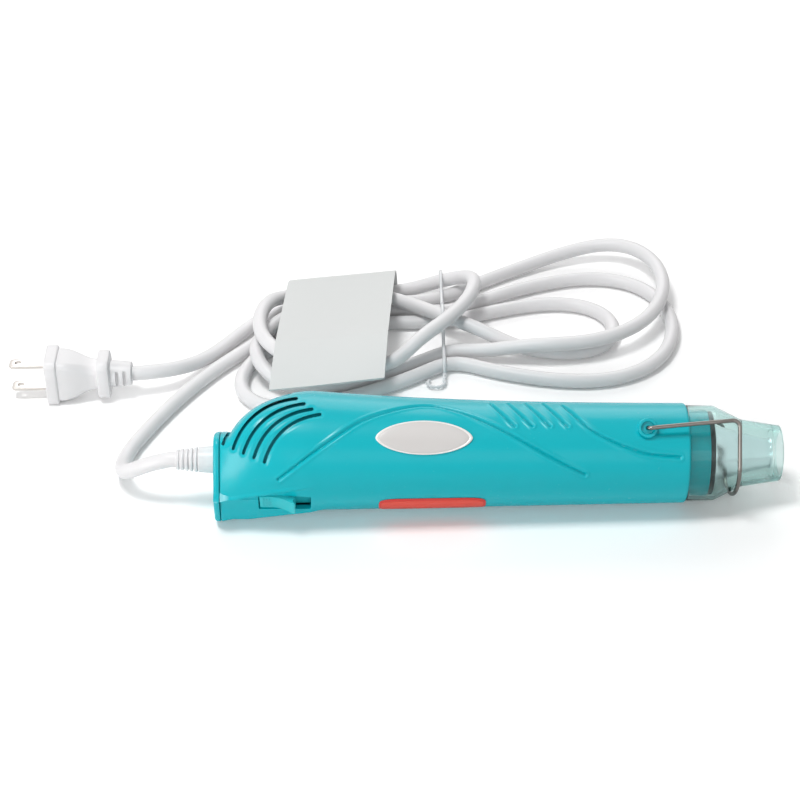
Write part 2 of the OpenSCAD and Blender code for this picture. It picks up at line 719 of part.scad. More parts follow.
module side_label() {
    f = function(u, v, o) let (x = mix(label_x0, label_x1, u), a = mix(label_a1, label_a0, v),
        r = shell_r(x, a) + o) [x, -r * sin(a), -r * cos(a)];
    color(RED) laid() patch(f, 6, 8, 0.1, 0.4);
}

module supply_leads() {
    lead_r = 0.8;
    y1 = board_y - lead_r - 0.1;
    color([0.15, 0.15, 0.15]) laid() for (e = [-1, 1])
        tube(concat([[cord_in + 0.02, e * 1.6, cord_z]], curve([[cord_in + 1, e * 1.6, cord_z],
            [cord_in + 3.5, e * 1.6, cord_z + 0.5], [cord_in + 7.5, mix(y1, e * 1.5, 0.4), 0.9 - e * 1.4],
            [cord_in + 13, y1, 3.4 - e * 1.5]], 3)), lead_r, 6);
}

module heater_leads() {
    color([0.75, 0.75, 0.7]) laid() for (e = [-1, 1])
        tube(curve([[board_x + board_l - 4, board_y - 0.9, 5 + e * 1.8],
            [board_x + board_l + 1.5, board_y - 0.7, 4.5 + e * 1.9], [motor_x - 10.5, 8, 1.5 + e * 2.3],
            [motor_x - 3.2, 17, e * 2.4],
            [motor_x + 2, lead_y - 0.3, e * 2.4], [fan_x + 4, lead_y, e * 2.4],
            [barrel_x0 - 2, lead_y - 0.6, e * 2.4], [barrel_x0 + 1, lead_y - 0.8, e * 2.4]], 3), 0.8, 6);
}

module motor_leads() {
    lead_r = 0.7;
    x0 = board_x + board_l - 4;
    end_x = motor_x - bell_t - terminal_l + 1;
    color([0.6, 0.1, 0.1]) laid() for (e = [-1, 1])
        tube(curve([[x0, board_y - 0.8, 11 + e * 2.5], [x0 + 5, board_y - 1.4 + e * 0.6, 10.4 + e * 2.2],
            [end_x - 4.5, e * (terminal_y - 1.6), 5.5], [end_x - 1, e * terminal_y, 2],
            [end_x + 1.5, e * terminal_y, 1.1]], 3), lead_r, 6);
}

// Lead on the table. Places are in the tool's own X, with Y from its axis, before centring.
module on_table() {
    translate([-centre_x, -centre_y, 0]) children();
}

plug_x = -46;
plug_y = 82;
plug_z = 12.2;
plug_h = 24;
plug_w = 16;

// Soft box: a rounded rectangle across X, from x0 to x1
module pad(x0, x1, w, h, r) {
    translate([x0, plug_y, plug_z]) rotate([0, 90, 0]) linear_extrude(height = x1 - x0)
        hull() for (a = [-1, 1], b = [-1, 1])
            translate([a * (h / 2 - r), b * (w / 2 - r)]) circle(r = r, $fn = 32);
}

module plug_body() {
    face_x = plug_x - 42;
    color(WHITE) on_table() difference() {
        union() {
            pad(face_x, face_x + 6, plug_w, plug_h, 5);
            hull() {
                pad(face_x + 6, face_x + 6.1, plug_w - 1, plug_h - 3, 5);
                pad(face_x + 26, face_x + 26.1, plug_w - 4, plug_h - 9, 4.5);
            }
            pad(face_x + 26, face_x + 32, plug_w - 1, plug_h - 4, 5);
            translate([face_x + 31, plug_y, plug_z]) rotate([0, 90, 0]) cylinder(r1 = 6, r2 = 4.6, h = 11);
        }
        for (e = [-1, 1])
            translate([face_x - 1, plug_y - 3.2, plug_z + e * blade_gap / 2 - 0.8]) cube([9, 6.4, 1.6]);
        for (x = [2.5, 6])
            translate([face_x + 32 + x, plug_y - 8, plug_z - 8]) difference() {
                cube([1.3, 16, 16]);
                translate([-1, 8 - 3.9, 0]) cube([4, 7.8, 16]);
            }
    }
}

module plug_blades() {
    face_x = plug_x - 42;
    color(STEEL) on_table() for (e = [-1, 1])
        translate([face_x - blade_l, plug_y - 3.175, plug_z + e * blade_gap / 2 - 0.75])
            difference() {
                cube([blade_l + 7, 6.35, 1.5]);
                translate([4, 3.175, -1]) cylinder(r = 1.6, h = 4);
            }
}

// The lead's exit from the strain relief, after the tool's roll and pitch
exit_p = [-relief_l * cos(pitch) + (cord_z * cos(facet_a)) * sin(pitch), cord_z * sin(facet_a),
    (rear_d + cord_z * cos(facet_a)) * cos(pitch) + relief_l * sin(pitch)];
exit_d = [-cos(pitch), 0, sin(pitch)];
lay_z = cord_r + 0.1;

// Bundle: places where the strands cross the waist, and the lobe between each pair,
// as reach along X, shift and bulge across it, height of its raised stretch, the angles
// where that stretch is centred and how far it spreads, and where it starts to leave its level
waist_x = 108;
mid_z = 11.4;
high_z = 19.1;
waist = [[waist_x, 159, lay_z], [waist_x, 110, lay_z], [waist_x, 144, lay_z], [waist_x, 100, lay_z],
    [waist_x, 135, lay_z], [waist_x, 126, mid_z], [78, 87, mid_z], [84, 163.5, lay_z]];
lobes = [[109, 25, 27, mid_z, 110, 95, 150], [-96, -26, -18, mid_z, 102, 50, 150],
    [111, 9, 29, lay_z, 90, 90, 150], [-103, -33, -18, lay_z, 90, 90, 150],
    [82, -4, 19, lay_z, 90, 90, 148], [-78, 20, 20, high_z - 0.1, 108, 45, 150],
    [40, 21, 3, high_z + 0.1, 50, 90, 126]];
lobe_rings = 13;
function lobe_level(p, q, f, a) = mix(p.z, q.z, smooth((a - f[6]) / (178 - f[6])));
function lobe_lift(f, a) = smooth(2 * (1 - abs(a - f[4]) / f[5])) * smooth(sin(a) / 0.4);
function lobe_point(i, a) = let (p = waist[i], q = waist[i + 1], f = lobes[i],
    level = lobe_level(p, q, f, a), place = mix(p, q, (1 - cos(a)) / 2))
    [place.x + f[0] * sin(a), place.y + f[1] * sin(a) + f[2] * sin(2 * a),
        level + (f[3] - level) * lobe_lift(f, a)];
hank_path = concat([for (i = [0:len(lobes) - 1], k = [0:lobe_rings - 1])
    lobe_point(i, 180 * k / lobe_rings)], [waist[len(waist) - 1]]);
hank_last = len(hank_path) - 1;
hank_in = unit(hank_path[1] - hank_path[0]);
hank_end = hank_path[hank_last] - hank_path[hank_last - 1];
hank_out = unit([hank_end.x, hank_end.y, 0]);

// Least gap between strands of the bundle that are well apart along it
hank_apart = 3;
hank_gap = min([for (i = [0:len(hank_path) - 2], j = [i + hank_apart:1:len(hank_path) - 1])
    norm(hank_path[i] - hank_path[j])]) - 2 * cord_r;
function path_length(p) = len(p) < 2 ? 0 : [for (i = 0, s = 0; i < len(p);
    i = i + 1, s = i < len(p) ? s + norm(p[i] - p[i - 1]) : s) s][len(p) - 1];

// Hand-laid stretches from the strain relief to the bundle, and from the bundle to the plug
tool_route = [[-24.5, -2, 23.5], [-30, -1.5, 22], [-34.5, -0.5, 19], [-38, 1.5, 15.5], [-41.5, 4.5, 12],
    [-44, 9.5, 9], [-45, 15, 6.5], [-45.5, 21, 4.5], [-44.5, 27.5, 4], [-42.5, 34.5, lay_z],
    [-39, 42, lay_z], [-32.5, 56, lay_z], [-22, 75, lay_z], [-8, 95.5, lay_z], [7, 113, lay_z],
    [21, 129.5, lay_z], [40, 146.5, lay_z], [60, 153, lay_z], [82, 153, lay_z], [94, 154, lay_z]];
plug_route = [[66, 161.5, lay_z], [52, 159.5, lay_z], [38, 155.5, lay_z], [23, 148, lay_z],
    [10.5, 137, lay_z], [1.5, 124.5, lay_z], [-5, 114, 4], [-8.5, 108, 5], [-12.5, 102, 6],
    [-17, 96, 7.5], [-22, 90.5, 9.5], [-28.5, 86, 11], [-36.5, 83, 12]];
join_l = 7;
tool_path = concat([exit_p + 0.02 * exit_d, exit_p + 2.5 * exit_d],
    curve(concat(tool_route, [waist[0] - join_l * hank_in]), 2), [waist[0]]);
plug_path = concat([waist[7]], curve(concat([waist[7] + join_l * hank_out], plug_route), 2),
    [[plug_x, plug_y, plug_z]]);

module cord_tool_lead() {
    color(WHITE) on_table() tube(tool_path, cord_r, 8);
}

module cord_hank() {
    color(WHITE) on_table() tube(hank_path, cord_r, 6);
}

module cord_plug_lead() {
    color(WHITE) on_table() tube(plug_path, cord_r, 8);
}

// Paper flag: folded round the plug's lead at the back, resting on the strands in front of it
tag_line = [[168.4, 1], [168.6, 9], [166.4, 13.2], [162, 15.8], [155, 17.8], [128, 20.6], [102, 23],
    [92, 22.9], [64, 19]];
tag_t = 1;
module cord_tag() {
    n = len(tag_line) - 1;
    f = function(u, v, o) let (k = min(n - 1, floor(v * n + 0.001)), t = v * n - k,
        q = mix(tag_line[k], tag_line[k + 1], t), d = unit(tag_line[k + 1] - tag_line[k]))
        [mix(28, 82, u) - 7 * v, q.x - 8.2 * (1 - u) + o * d.y, q.y - o * d.x];
    color(WHITE) on_table() patch(f, 2, n, 0.2, 0.2 + tag_t);
}

module cord_tie() {
    x = 104;
    ring = [[92, 1], [92.1, 4.6], [94.4, 7.7], [98, 8.4], [107, 8.5], [113, 9.4], [119, 12], [124, 15.3],
        [128.8, 16.4], [133.8, 15], [139, 10.6], [144, 8.7], [151, 8.5], [157, 9], [161.2, 11.8],
        [166, 13], [170.4, 10.8], [171.3, 6], [171.1, 1]];
    color(WHITE) on_table() tube(curve([for (q = ring) [x, q.x, q.y]], 2), 0.9, 6, [1, 0, 0]);
}

lead_length = path_length(tool_path) + path_length(hank_path) + path_length(plug_path);
echo(hank_gap = hank_gap, lead_length = lead_length);

housing_near();
housing_far();
rear_cap();
front_collar();
nozzle_shroud();
outlet_cone();
insulator_ring();
heater_barrel();
heater_bracket();
mica_sleeve();
mica_cross();
heating_coil();
thermal_cutout();
motor_can();
motor_end_bell();
motor_shaft();
fan_impeller();
motor_bracket();
rectifier_board();
diodes();
switch_body();
switch_thumb();
switch_terminals();
strain_relief();
cord_entry();
cord_clamp();
clamp_screws();
housing_screws();
wire_stand();
badge();
side_label();
supply_leads();
heater_leads();
motor_leads();
plug_body();
plug_blades();
cord_tool_lead();
cord_hank();
cord_plug_lead();
cord_tag();
cord_tie();
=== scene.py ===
"""The looks of an embossing heat tool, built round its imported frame."""

import json
import math

import bmesh
import bpy
import numpy as np
from mathutils import Matrix, Quaternion, Vector


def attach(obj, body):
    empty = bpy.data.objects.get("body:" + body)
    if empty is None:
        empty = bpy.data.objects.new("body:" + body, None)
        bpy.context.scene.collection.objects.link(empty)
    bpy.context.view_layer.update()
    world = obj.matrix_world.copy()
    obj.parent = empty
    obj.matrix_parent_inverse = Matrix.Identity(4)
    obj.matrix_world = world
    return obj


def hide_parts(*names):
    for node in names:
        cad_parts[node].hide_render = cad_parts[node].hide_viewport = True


MM = 0.001

# Driving sizes of the tool in millimetres, as in the part's source
BODY_L = 208.2
FRONT_R = 22.2
TAPER = 0.0222
WALL = 2.2
HUMP_H = 27.1
HUMP_X = 44.0
PLATE_H = 8.9
KEEL_H = 29.8
PLATE_T = 2.6
FACET = math.radians(36)
SHROUD_L = 42.4
SHROUD_R = 21.3
SHROUD_T = 2.0
SHOULDER_L = 12.7
NECK_L = 25
NECK_R = 15
MOUTH_R = 10.3
MOUTH_L = 4.0
BARREL_R = 12.5
SHEET_T = 0.6
TIP_R = 6.4
RELIEF_L = 17.5
RELIEF_R = 5.6
CORD_R = 3.5
CORD_Z = -3.6
DOME_L = 39.0
PLAN_L = 52.0
KEEL_FLAT_X = 15.0
KEEL_SLOPE = 0.119
FACET_END = HUMP_X - 2
FACET_FADE = 10.0
REAR_POWER = 3.0
CROWN_POWER = 2.6
SHELL_X0 = PLATE_T + 0.4
LIP_T = 2.0
LIP_R = SHROUD_R - SHROUD_T
HINGE_X = BODY_L - 18.9
HINGE_H = 11.3
BOSS_R = 4.35
BOSS_Y = 23.0
WIRE_R = 0.95
LEG_Y = BOSS_Y + WIRE_R + 0.35
LOOP_X = HINGE_X + 40.3
LOOP_R = 20.8
LOOP_SIDE = 5.0
LOOP_DROP = 18.3
CORNER_R = 3.0
CORNER_Z = 14.6
COLLAR_L = 9.3
COLLAR_R = LIP_R - 0.2
INSULATOR_T = 2.2
BARREL_X1 = BODY_L + COLLAR_L + INSULATOR_T
CONE_X1 = BODY_L + SHROUD_L - MOUTH_L
FIT_GAP = 0.3
PIN_IN = 17.6
SCREW_PLACES = [(54, 18), (54, -18), (176, 16.9), (176, -16.9)]
POST_R = 3.6
SCREW_HOLE_R = 2.8
PIN_HOLE_R = 1.0
RELIEF_RIBS = 5
RIBS_X = -7.4

# Opening for the switch: its first X, the middle of it across the facet, length and width
SWITCH = (19.8, -2.0, 23.0, 9.0)
SWITCH_TRAVEL = 6

# Badge: X and height of its middle, half length and half height
BADGE = (92.0, 6.8, 21.2, 7.4)

# Strip: from X to X, and from angle to angle in degrees from straight down
LABEL_X = (72.5, 119.5)
LABEL_A = (8.0, 37.0)

# Relief lines in the side, as X and height of the tool
SWEEP_LONG = [(29, -11.5), (49, 3.5), (67, 14.8), (89, 20.4), (106, 18.4), (126, 10.3),
              (147, -1.6), (162, -9.2)]
SWEEP_SHORT = [(153.6, 20.6), (167, 9.2), (187, 0.5), (203.4, -1.5)]
DASHES = [[(121.8 + 7.75 * k, 21.4), (131.4 + 7.75 * k, 12.0)] for k in range(4)]

# Cooling slots: how many, how wide and bowed, the first one's ends and their steps to the next
VENT_N = 5
VENT_W = 1.5
VENT_BOW = 0.16
VENT_ENDS = ((22.9, -3.9), (46.7, 16.7))
VENT_STEPS = ((-4.6, 1.9), (-3.5, 2.3))

# Place of the tool on the table
PITCH = math.atan(TAPER)
REAR_D = FRONT_R + TAPER * BODY_L
CENTRE_X = (BODY_L + SHROUD_L - RELIEF_L) / 2 + 0.03
CENTRE_Y = -0.34
LAID = (
    Matrix.Translation((-CENTRE_X, -CENTRE_Y, REAR_D * math.cos(PITCH)))
    @ Matrix.Rotation(PITCH, 4, "Y")
    @ Matrix.Rotation(-FACET, 4, "X")
)

# View of the photograph, in millimetres and pixels
VIEW_RISE = math.radians(36)
VIEW_LEAN = math.radians(-0.86)
VIEW_DISTANCE = 933.0
VIEW_AIM = (82.2, 25.0)
VIEW_LIFT = 23.1
FOCAL_PX = 2100.0
IMAGE_PX = 800

# Route of the lead in millimetres, in the tool's own X and with Y from its axis
LAY_Z = 3.6
MID_Z = 11.4
HIGH_Z = 19.1
WAIST_X = 108
WAIST = [
    (WAIST_X, 159, LAY_Z), (WAIST_X, 110, LAY_Z), (WAIST_X, 144, LAY_Z), (WAIST_X, 100, LAY_Z),
    (WAIST_X, 135, LAY_Z), (WAIST_X, 126, MID_Z), (78, 87, MID_Z), (84, 163.5, LAY_Z),
]

# Each lobe: reach, shift and bulge, its highest level, where that is and how wide, where it comes down
LOBES = [
    (109, 25, 27, MID_Z, 110, 95, 150), (-96, -26, -18, MID_Z, 102, 50, 150),
    (111, 9, 29, LAY_Z, 90, 90, 150), (-103, -33, -18, LAY_Z, 90, 90, 150),
    (82, -4, 19, LAY_Z, 90, 90, 148), (-78, 20, 20, HIGH_Z - 0.1, 108, 45, 150),
    (40, 21, 3, HIGH_Z + 0.1, 50, 90, 126),
]
LOBE_POINTS = 22
TOOL_ROUTE = [
    (-24.5, -2, 23.5), (-30, -1.5, 22), (-34.5, -0.5, 19), (-38, 1.5, 15.5), (-41.5, 4.5, 12),
    (-44, 9.5, 9), (-45, 15, 6.5), (-45.5, 21, 4.5), (-44.5, 27.5, 4), (-42.5, 34.5, LAY_Z),
    (-39, 42, LAY_Z), (-32.5, 56, LAY_Z), (-22, 75, LAY_Z), (-8, 95.5, LAY_Z), (7, 113, LAY_Z),
    (21, 129.5, LAY_Z), (40, 146.5, LAY_Z), (60, 153, LAY_Z), (82, 153, LAY_Z), (94, 154, LAY_Z),
]
PLUG_ROUTE = [
    (66, 161.5, LAY_Z), (52, 159.5, LAY_Z), (38, 155.5, LAY_Z), (23, 148, LAY_Z), (10.5, 137, LAY_Z),
    (1.5, 124.5, LAY_Z), (-5, 114, 4), (-8.5, 108, 5), (-12.5, 102, 6), (-17, 96, 7.5),
    (-22, 90.5, 9.5), (-28.5, 86, 11), (-36.5, 83, 12),
]

# Plug: the end of its sleeve on the route, and its face from there
PLUG = Vector((-46, 82, 12.2))
PLUG_FACE = -42.0
PLUG_W = 19.0
PLUG_H = 24.3
BLADE_L = 16.0
BLADE_GAP = 12.7
BLADE_W = 6.35
BLADE_T = 1.5

# Paper flag as Y and height over the bundle, and its place, lean and skew
TAG_LINE = [(168.4, 1), (168.6, 9), (166.4, 13.2), (162, 15.8), (155, 17.8), (128, 20.6), (102, 23),
            (92, 22.9), (64, 19)]
TAG_X = (28, 82)
TAG_LEAN = 7
TAG_SKEW = 8.2

# Tie round the bundle, as Y and height
TIE_X = 104
TIE_WIRE_R = 0.85
TIE_TAIL_R = 0.6
TIE_RING = [(92, 1), (92.1, 4.6), (94.4, 7.7), (98, 8.4), (107, 8.5), (113, 9.4), (119, 12), (124, 15.3),
            (128.8, 16.4), (133.8, 15), (139, 10.6), (144, 8.7), (151, 8.5), (157, 9), (161.2, 11.8),
            (166, 13), (170.4, 10.8), (171.3, 6), (171.1, 1)]

# Pressed lines: depth, half width, and the raised edge's height and distance from the middle
SWEEP_GROOVE = (0.95, 0.8, 0.24, 1.5)
DASH_GROOVE = (0.85, 0.75, 0.26, 1.4)
RISE_W = 0.5
VENT_HOLLOW = 0.3

# Ledge along the lower side of the rear end
CREASE_Z = -22.0
CREASE_SLOPE = 0.156
CREASE_END = 46
CREASE_FADE = 16

# The housing's halves, and the counts of mesh points along one, outside and inside, and round it
SIDES = ((-1, "near"), (1, "far"))
OUTER_N = 480
INNER_N = 70
AROUND_N = 152

# The seam between the halves: how deep, and how wide in degrees
SEAM_D = 0.22
SEAM_A = 1.2

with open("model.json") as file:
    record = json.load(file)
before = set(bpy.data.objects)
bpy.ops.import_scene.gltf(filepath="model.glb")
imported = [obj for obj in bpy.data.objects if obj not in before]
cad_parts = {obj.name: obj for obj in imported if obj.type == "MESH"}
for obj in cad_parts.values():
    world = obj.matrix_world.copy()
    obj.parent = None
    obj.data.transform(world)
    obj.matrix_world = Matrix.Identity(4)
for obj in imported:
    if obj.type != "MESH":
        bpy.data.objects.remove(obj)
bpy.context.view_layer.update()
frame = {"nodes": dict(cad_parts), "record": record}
record = frame["record"]


# Small helpers

def mix(a, b, t):
    """The value at t on the way from a to b."""
    return a + (b - a) * t


def smooth(t):
    """Smooth step, for numbers and arrays."""
    u = np.clip(t, 0, 1)
    return u * u * (3 - 2 * u)


def spline(p, steps):
    """Fine points of a smooth curve; the first and last given points only steer its ends."""
    line = []
    for a, b, c, d in zip(p, p[1:], p[2:], p[3:]):
        for k in range(steps):
            t = k / steps
            line.append(0.5 * (2 * b + (c - a) * t + (2 * a - 5 * b + 4 * c - d) * t * t
                               + (3 * b - a - 3 * c + d) * t ** 3))
    line.append(p[-2])
    return line


def through(points, steps):
    """Smooth curve through points of any dimension."""
    p = [np.array(q, dtype=float) for q in points]
    return np.array(spline([2 * p[0] - p[1], *p, 2 * p[-1] - p[-2]], steps))


def run_along(line):
    """Distance from the start at each point of a fine line."""
    return np.concatenate([[0], np.cumsum(np.linalg.norm(np.diff(line, axis=0), axis=1))])


def directions(line):
    """Unit direction at each point of a fine line."""
    step = np.gradient(line, axis=0)
    return step / np.linalg.norm(step, axis=1)[:, None]


def on_table(p):
    """A point of the lead's route in the row frame, in metres."""
    return Vector((p[0] - CENTRE_X, p[1] - CENTRE_Y, p[2])) * MM


def lay(obj):
    """Brings a mesh from the tool's own millimetres into the row frame."""
    obj.data.transform(Matrix.Scale(MM, 4) @ LAID)
    return obj


def link(name, data):
    """A new object in the scene."""
    obj = bpy.data.objects.new(name, data)
    bpy.context.scene.collection.objects.link(obj)
    return obj


# The camera, the surroundings and the lamps

def camera():
    """The photograph's view: 36 degrees above the table, square on to the tool."""
    aim = Vector((VIEW_AIM[0] - CENTRE_X, -CENTRE_Y, VIEW_AIM[1]))
    up = Vector((0, math.sin(VIEW_RISE), math.cos(VIEW_RISE)))
    back = Vector((0, -math.cos(VIEW_RISE), math.sin(VIEW_RISE)))
    data = bpy.data.cameras.new("camera")
    data.lens = FOCAL_PX / IMAGE_PX * data.sensor_width
    data.clip_start = 0.01
    cam = link("camera", data)
    cam.location = (aim + VIEW_LIFT * up + VIEW_DISTANCE * back) * MM
    cam.rotation_mode = "QUATERNION"
    cam.rotation_quaternion = Quaternion(back, VIEW_LEAN) @ (-back).to_track_quat("-Z", "Y")
    bpy.context.scene.camera = cam


def surroundings():
    """White surroundings to the camera, gloss and glass, and a dim even light to the rest."""
    scene = bpy.context.scene
    scene.view_settings.view_transform = "Standard"
    world = bpy.data.worlds.new("studio")
    world.use_nodes = True
    scene.world = world
    tree = world.node_tree
    dim = tree.nodes["Background"]
    dim.inputs["Color"].default_value = (1, 1, 1, 1)
    dim.inputs["Strength"].default_value = 0.24
    bright = add(tree, "Background", Color=(1, 1, 1, 1), Strength=1.0)
    path = add(tree, "LightPath")
    seen = add(tree, "Math")
    seen.operation = "MAXIMUM"
    both = add(tree, "Math")
    both.operation = "MAXIMUM"
    choose = add(tree, "MixShader")
    join = tree.links.new
    join(path.outputs["Is Camera Ray"], seen.inputs[0])
    join(path.outputs["Is Transmission Ray"], seen.inputs[1])
    join(seen.outputs[0], both.inputs[0])
    join(path.outputs["Is Glossy Ray"], both.inputs[1])
    join(both.outputs[0], choose.inputs[0])
    join(dim.outputs[0], choose.inputs[1])
    join(bright.outputs[0], choose.inputs[2])
    join(choose.outputs[0], tree.nodes["World Output"].inputs["Surface"])


def floor():
    """A pale floor with a painted glow for the camera, weak near the tool so its shadows there stay and
    growing with distance until the floor is white.
    """
    half = 3.0
    mesh = bpy.data.meshes.new("floor")
    mesh.from_pydata([(-half, -half, 0), (half, -half, 0), (half, half, 0), (-half, half, 0)], [],
                     [(0, 1, 2, 3)])
    obj = link("floor", mesh)
    obj.location.z = -0.0002
    mat, tree, shader = material("floor", (0.92, 0.92, 0.92), 0.45, Specular_IOR_Level=0.3)
    # Painted glow, seen only by the camera: weak near the tool, stronger with distance
    painted_glow = add(tree, "Emission")
    place = add(tree, "TexCoord")
    away = add(tree, "VectorMath")
    away.operation = "LENGTH"
    span = add(tree, "MapRange", From_Min=0.3, From_Max=1.4, To_Min=0.1, To_Max=0.8)
    join = tree.links.new
    join(place.outputs["Object"], away.inputs[0])
    join(away.outputs["Value"], span.inputs["Value"])
    join(span.outputs["Result"], painted_glow.inputs["Strength"])
    white_floor = add(tree, "BsdfDiffuse", Color=(1, 1, 1, 1))
    shown = add(tree, "AddShader")
    join(white_floor.outputs[0], shown.inputs[0])
    join(painted_glow.outputs[0], shown.inputs[1])
    ray = add(tree, "LightPath")
    choose = add(tree, "MixShader")
    join(ray.outputs["Is Camera Ray"], choose.inputs[0])
    join(shader.outputs[0], choose.inputs[1])
    join(shown.outputs[0], choose.inputs[2])
    join(choose.outputs[0], tree.nodes["Material Output"].inputs["Surface"])
    mesh.materials.append(mat)


def lamps():
    """Soft lamps, each with its place, width, height and power, turned to the tool."""
    for name, place, wide, tall, power in [
        ("key", (-0.35, -0.1, 1.3), 0.35, 0.35, 9.5), ("front", (0.2, -1.2, 0.7), 1.3, 0.6, 2),
        ("left", (-0.95, -0.72, 0.3), 0.45, 0.6, 6), ("back", (0.0, 1.1, 0.85), 1.1, 0.9, 6.5),
    ]:
        data = bpy.data.lights.new(name, "AREA")
        data.shape = "RECTANGLE"
        data.size = wide
        data.size_y = tall
        data.energy = power
        lamp = link(name, data)
        lamp.location = place
        lamp.rotation_mode = "QUATERNION"
        lamp.rotation_quaternion = Vector(place).to_track_quat("Z", "Y")


# The mains lead

def lobe_point(i, angle):
    """One point of the bundle, on the way from one waist crossing to the next."""
    p = WAIST[i]
    q = WAIST[i + 1]
    reach, shift, bulge, top, peak, spread, drop = LOBES[i]
    a = math.radians(angle)
    level = mix(p[2], q[2], smooth((angle - drop) / (178 - drop)))
    lift = smooth(2 * (1 - abs(angle - peak) / spread)) * smooth(math.sin(a) / 0.4)
    t = (1 - math.cos(a)) / 2
    return Vector((
        mix(p[0], q[0], t) + reach * math.sin(a),
        mix(p[1], q[1], t) + shift * math.sin(a) + bulge * math.sin(2 * a),
        level + (top - level) * lift,
    ))


def lead_route():
    """The lead's whole line from the sleeve to the plug, evenly spaced and eased."""
    out = Vector((-math.cos(PITCH), 0, math.sin(PITCH)))
    start = LAID @ Vector((-RELIEF_L, 0, CORD_Z)) + Vector((CENTRE_X, CENTRE_Y, 0))
    points = [start, start + 3 * out]
    points += [Vector(p) for p in TOOL_ROUTE]
    for i in range(len(LOBES)):
        points += [lobe_point(i, 180 * k / LOBE_POINTS) for k in range(LOBE_POINTS)]
    points.append(Vector(WAIST[-1]))
    points += [Vector(p) for p in PLUG_ROUTE]
    points += [PLUG + Vector((3, 0, 0)), PLUG]
    return ease(resample(points, 2.5), 14)


def resample(points, step):
    """Points at even steps along a smooth curve through the given ones."""
    fine = spline([points[0], *points, points[-1]], 8)
    line = np.array([tuple(p) for p in fine])
    run = run_along(line)
    n = round(run[-1] / step)
    even = np.linspace(0, run[-1], n + 1)
    return np.stack([np.interp(even, run, line[:, k]) for k in range(3)], axis=1)


def ease(line, rounds):
    """Softens small kinks and keeps the ends' places and directions."""
    for _ in range(rounds):
        moved = line.copy()
        moved[2:-2] = 0.25 * line[1:-3] + 0.5 * line[2:-2] + 0.25 * line[3:-1]
        line = moved
    return line


def round_curve(name, points, radius, resolution):
    """A round open line through points in the row frame, in metres."""
    curve = bpy.data.curves.new(name, "CURVE")
    curve.dimensions = "3D"
    curve.bevel_depth = radius * MM
    curve.bevel_resolution = resolution
    curve.use_fill_caps = True
    spline = curve.splines.new("POLY")
    spline.points.add(len(points) - 1)
    for point, place in zip(spline.points, points):
        point.co = (*place, 1)
    spline.use_smooth = True
    return link(name, curve)


def cord(material):
    line = lead_route()
    obj = round_curve("mains_lead", [on_table(place) for place in line], CORD_R, 6)
    obj.data.materials.append(material)
    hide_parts("cord_tool_lead", "cord_hank", "cord_plug_lead")
    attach(obj, "tool")
    length = float(np.linalg.norm(np.diff(line, axis=0), axis=1).sum()) * MM
    return obj, on_table(line[0]), length


# Materials

def material(name, color, roughness, metallic=0.0, **sockets):
    """A principled material, and its node tree and shader for further work."""
    mat = bpy.data.materials.new(name)
    mat.use_nodes = True
    tree = mat.node_tree
    shader = tree.nodes["Principled BSDF"]
    shader.inputs["Base Color"].default_value = (*color, 1)
    shader.inputs["Roughness"].default_value = roughness
    shader.inputs["Metallic"].default_value = metallic
    for key, value in sockets.items():
        shader.inputs[key.replace("_", " ")].default_value = value
    return mat, tree, shader


def srgb(r, g, b):
    """Linear colour from display values of 0 to 255."""
    return tuple(((v / 255 + 0.055) / 1.055) ** 2.4 if v > 10 else v / 255 / 12.92 for v in (r, g, b))


def add(tree, kind, **values):
    """A new node of a kind, with the values of its inputs."""
    node = tree.nodes.new("ShaderNode" + kind)
    for key, value in values.items():
        node.inputs[key.replace("_", " ")].default_value = value
    return node


def add_noise(tree, scale, detail=3.0):
    """Noise in the object's own space."""
    noise = add(tree, "TexNoise", Scale=scale, Detail=detail)
    coords = add(tree, "TexCoord")
    tree.links.new(coords.outputs["Object"], noise.inputs["Vector"])
    return noise


def add_bump(tree, shader, height, strength, distance):
    """Fine bumps from a node's output."""
    bump = add(tree, "Bump", Strength=strength, Distance=distance)
    tree.links.new(height, bump.inputs["Height"])
    tree.links.new(bump.outputs["Normal"], shader.inputs["Normal"])


def vary_roughness(tree, shader, source, low, high):
    """Roughness that follows a node's output."""
    span = add(tree, "MapRange", To_Min=low, To_Max=high)
    tree.links.new(source, span.inputs["Value"])
    tree.links.new(span.outputs["Result"], shader.inputs["Roughness"])


def vary_color(tree, shader, source, dark, light):
    """Colour that follows a node's output."""
    ramp = tree.nodes.new("ShaderNodeMix")
    ramp.data_type = "RGBA"
    ramp.inputs["A"].default_value = (*dark, 1)
    ramp.inputs["B"].default_value = (*light, 1)
    tree.links.new(source, ramp.inputs["Factor"])
    tree.links.new(ramp.outputs["Result"], shader.inputs["Base Color"])


def teal_plastic(name, color):
    """Moulded plastic, faintly soft, with a very fine grain."""
    mat, tree, shader = material(name, color, 0.26, Coat_Weight=0.06, Coat_Roughness=0.1, IOR=1.5,
                                 Specular_IOR_Level=0.25, Subsurface_Weight=0.06,
                                 Subsurface_Radius=(0.3, 1, 1), Subsurface_Scale=0.0015)
    fine = add_noise(tree, 700, 2)
    vary_roughness(tree, shader, fine.outputs["Fac"], 0.2, 0.3)
    add_bump(tree, shader, fine.outputs["Fac"], 0.03, 0.00004)
    return mat


def clear_plastic():
    """Clear plastic whose tint grows with its thickness."""
    mat, tree, _ = material("clear_plastic", srgb(250, 254, 253), 0.02, IOR=1.28,
                            Transmission_Weight=1.0)
    tint = add(tree, "VolumeAbsorption", Color=(0.46, 0.77, 0.75, 1), Density=200)
    tree.links.new(tint.outputs[0], tree.nodes["Material Output"].inputs["Volume"])
    return mat


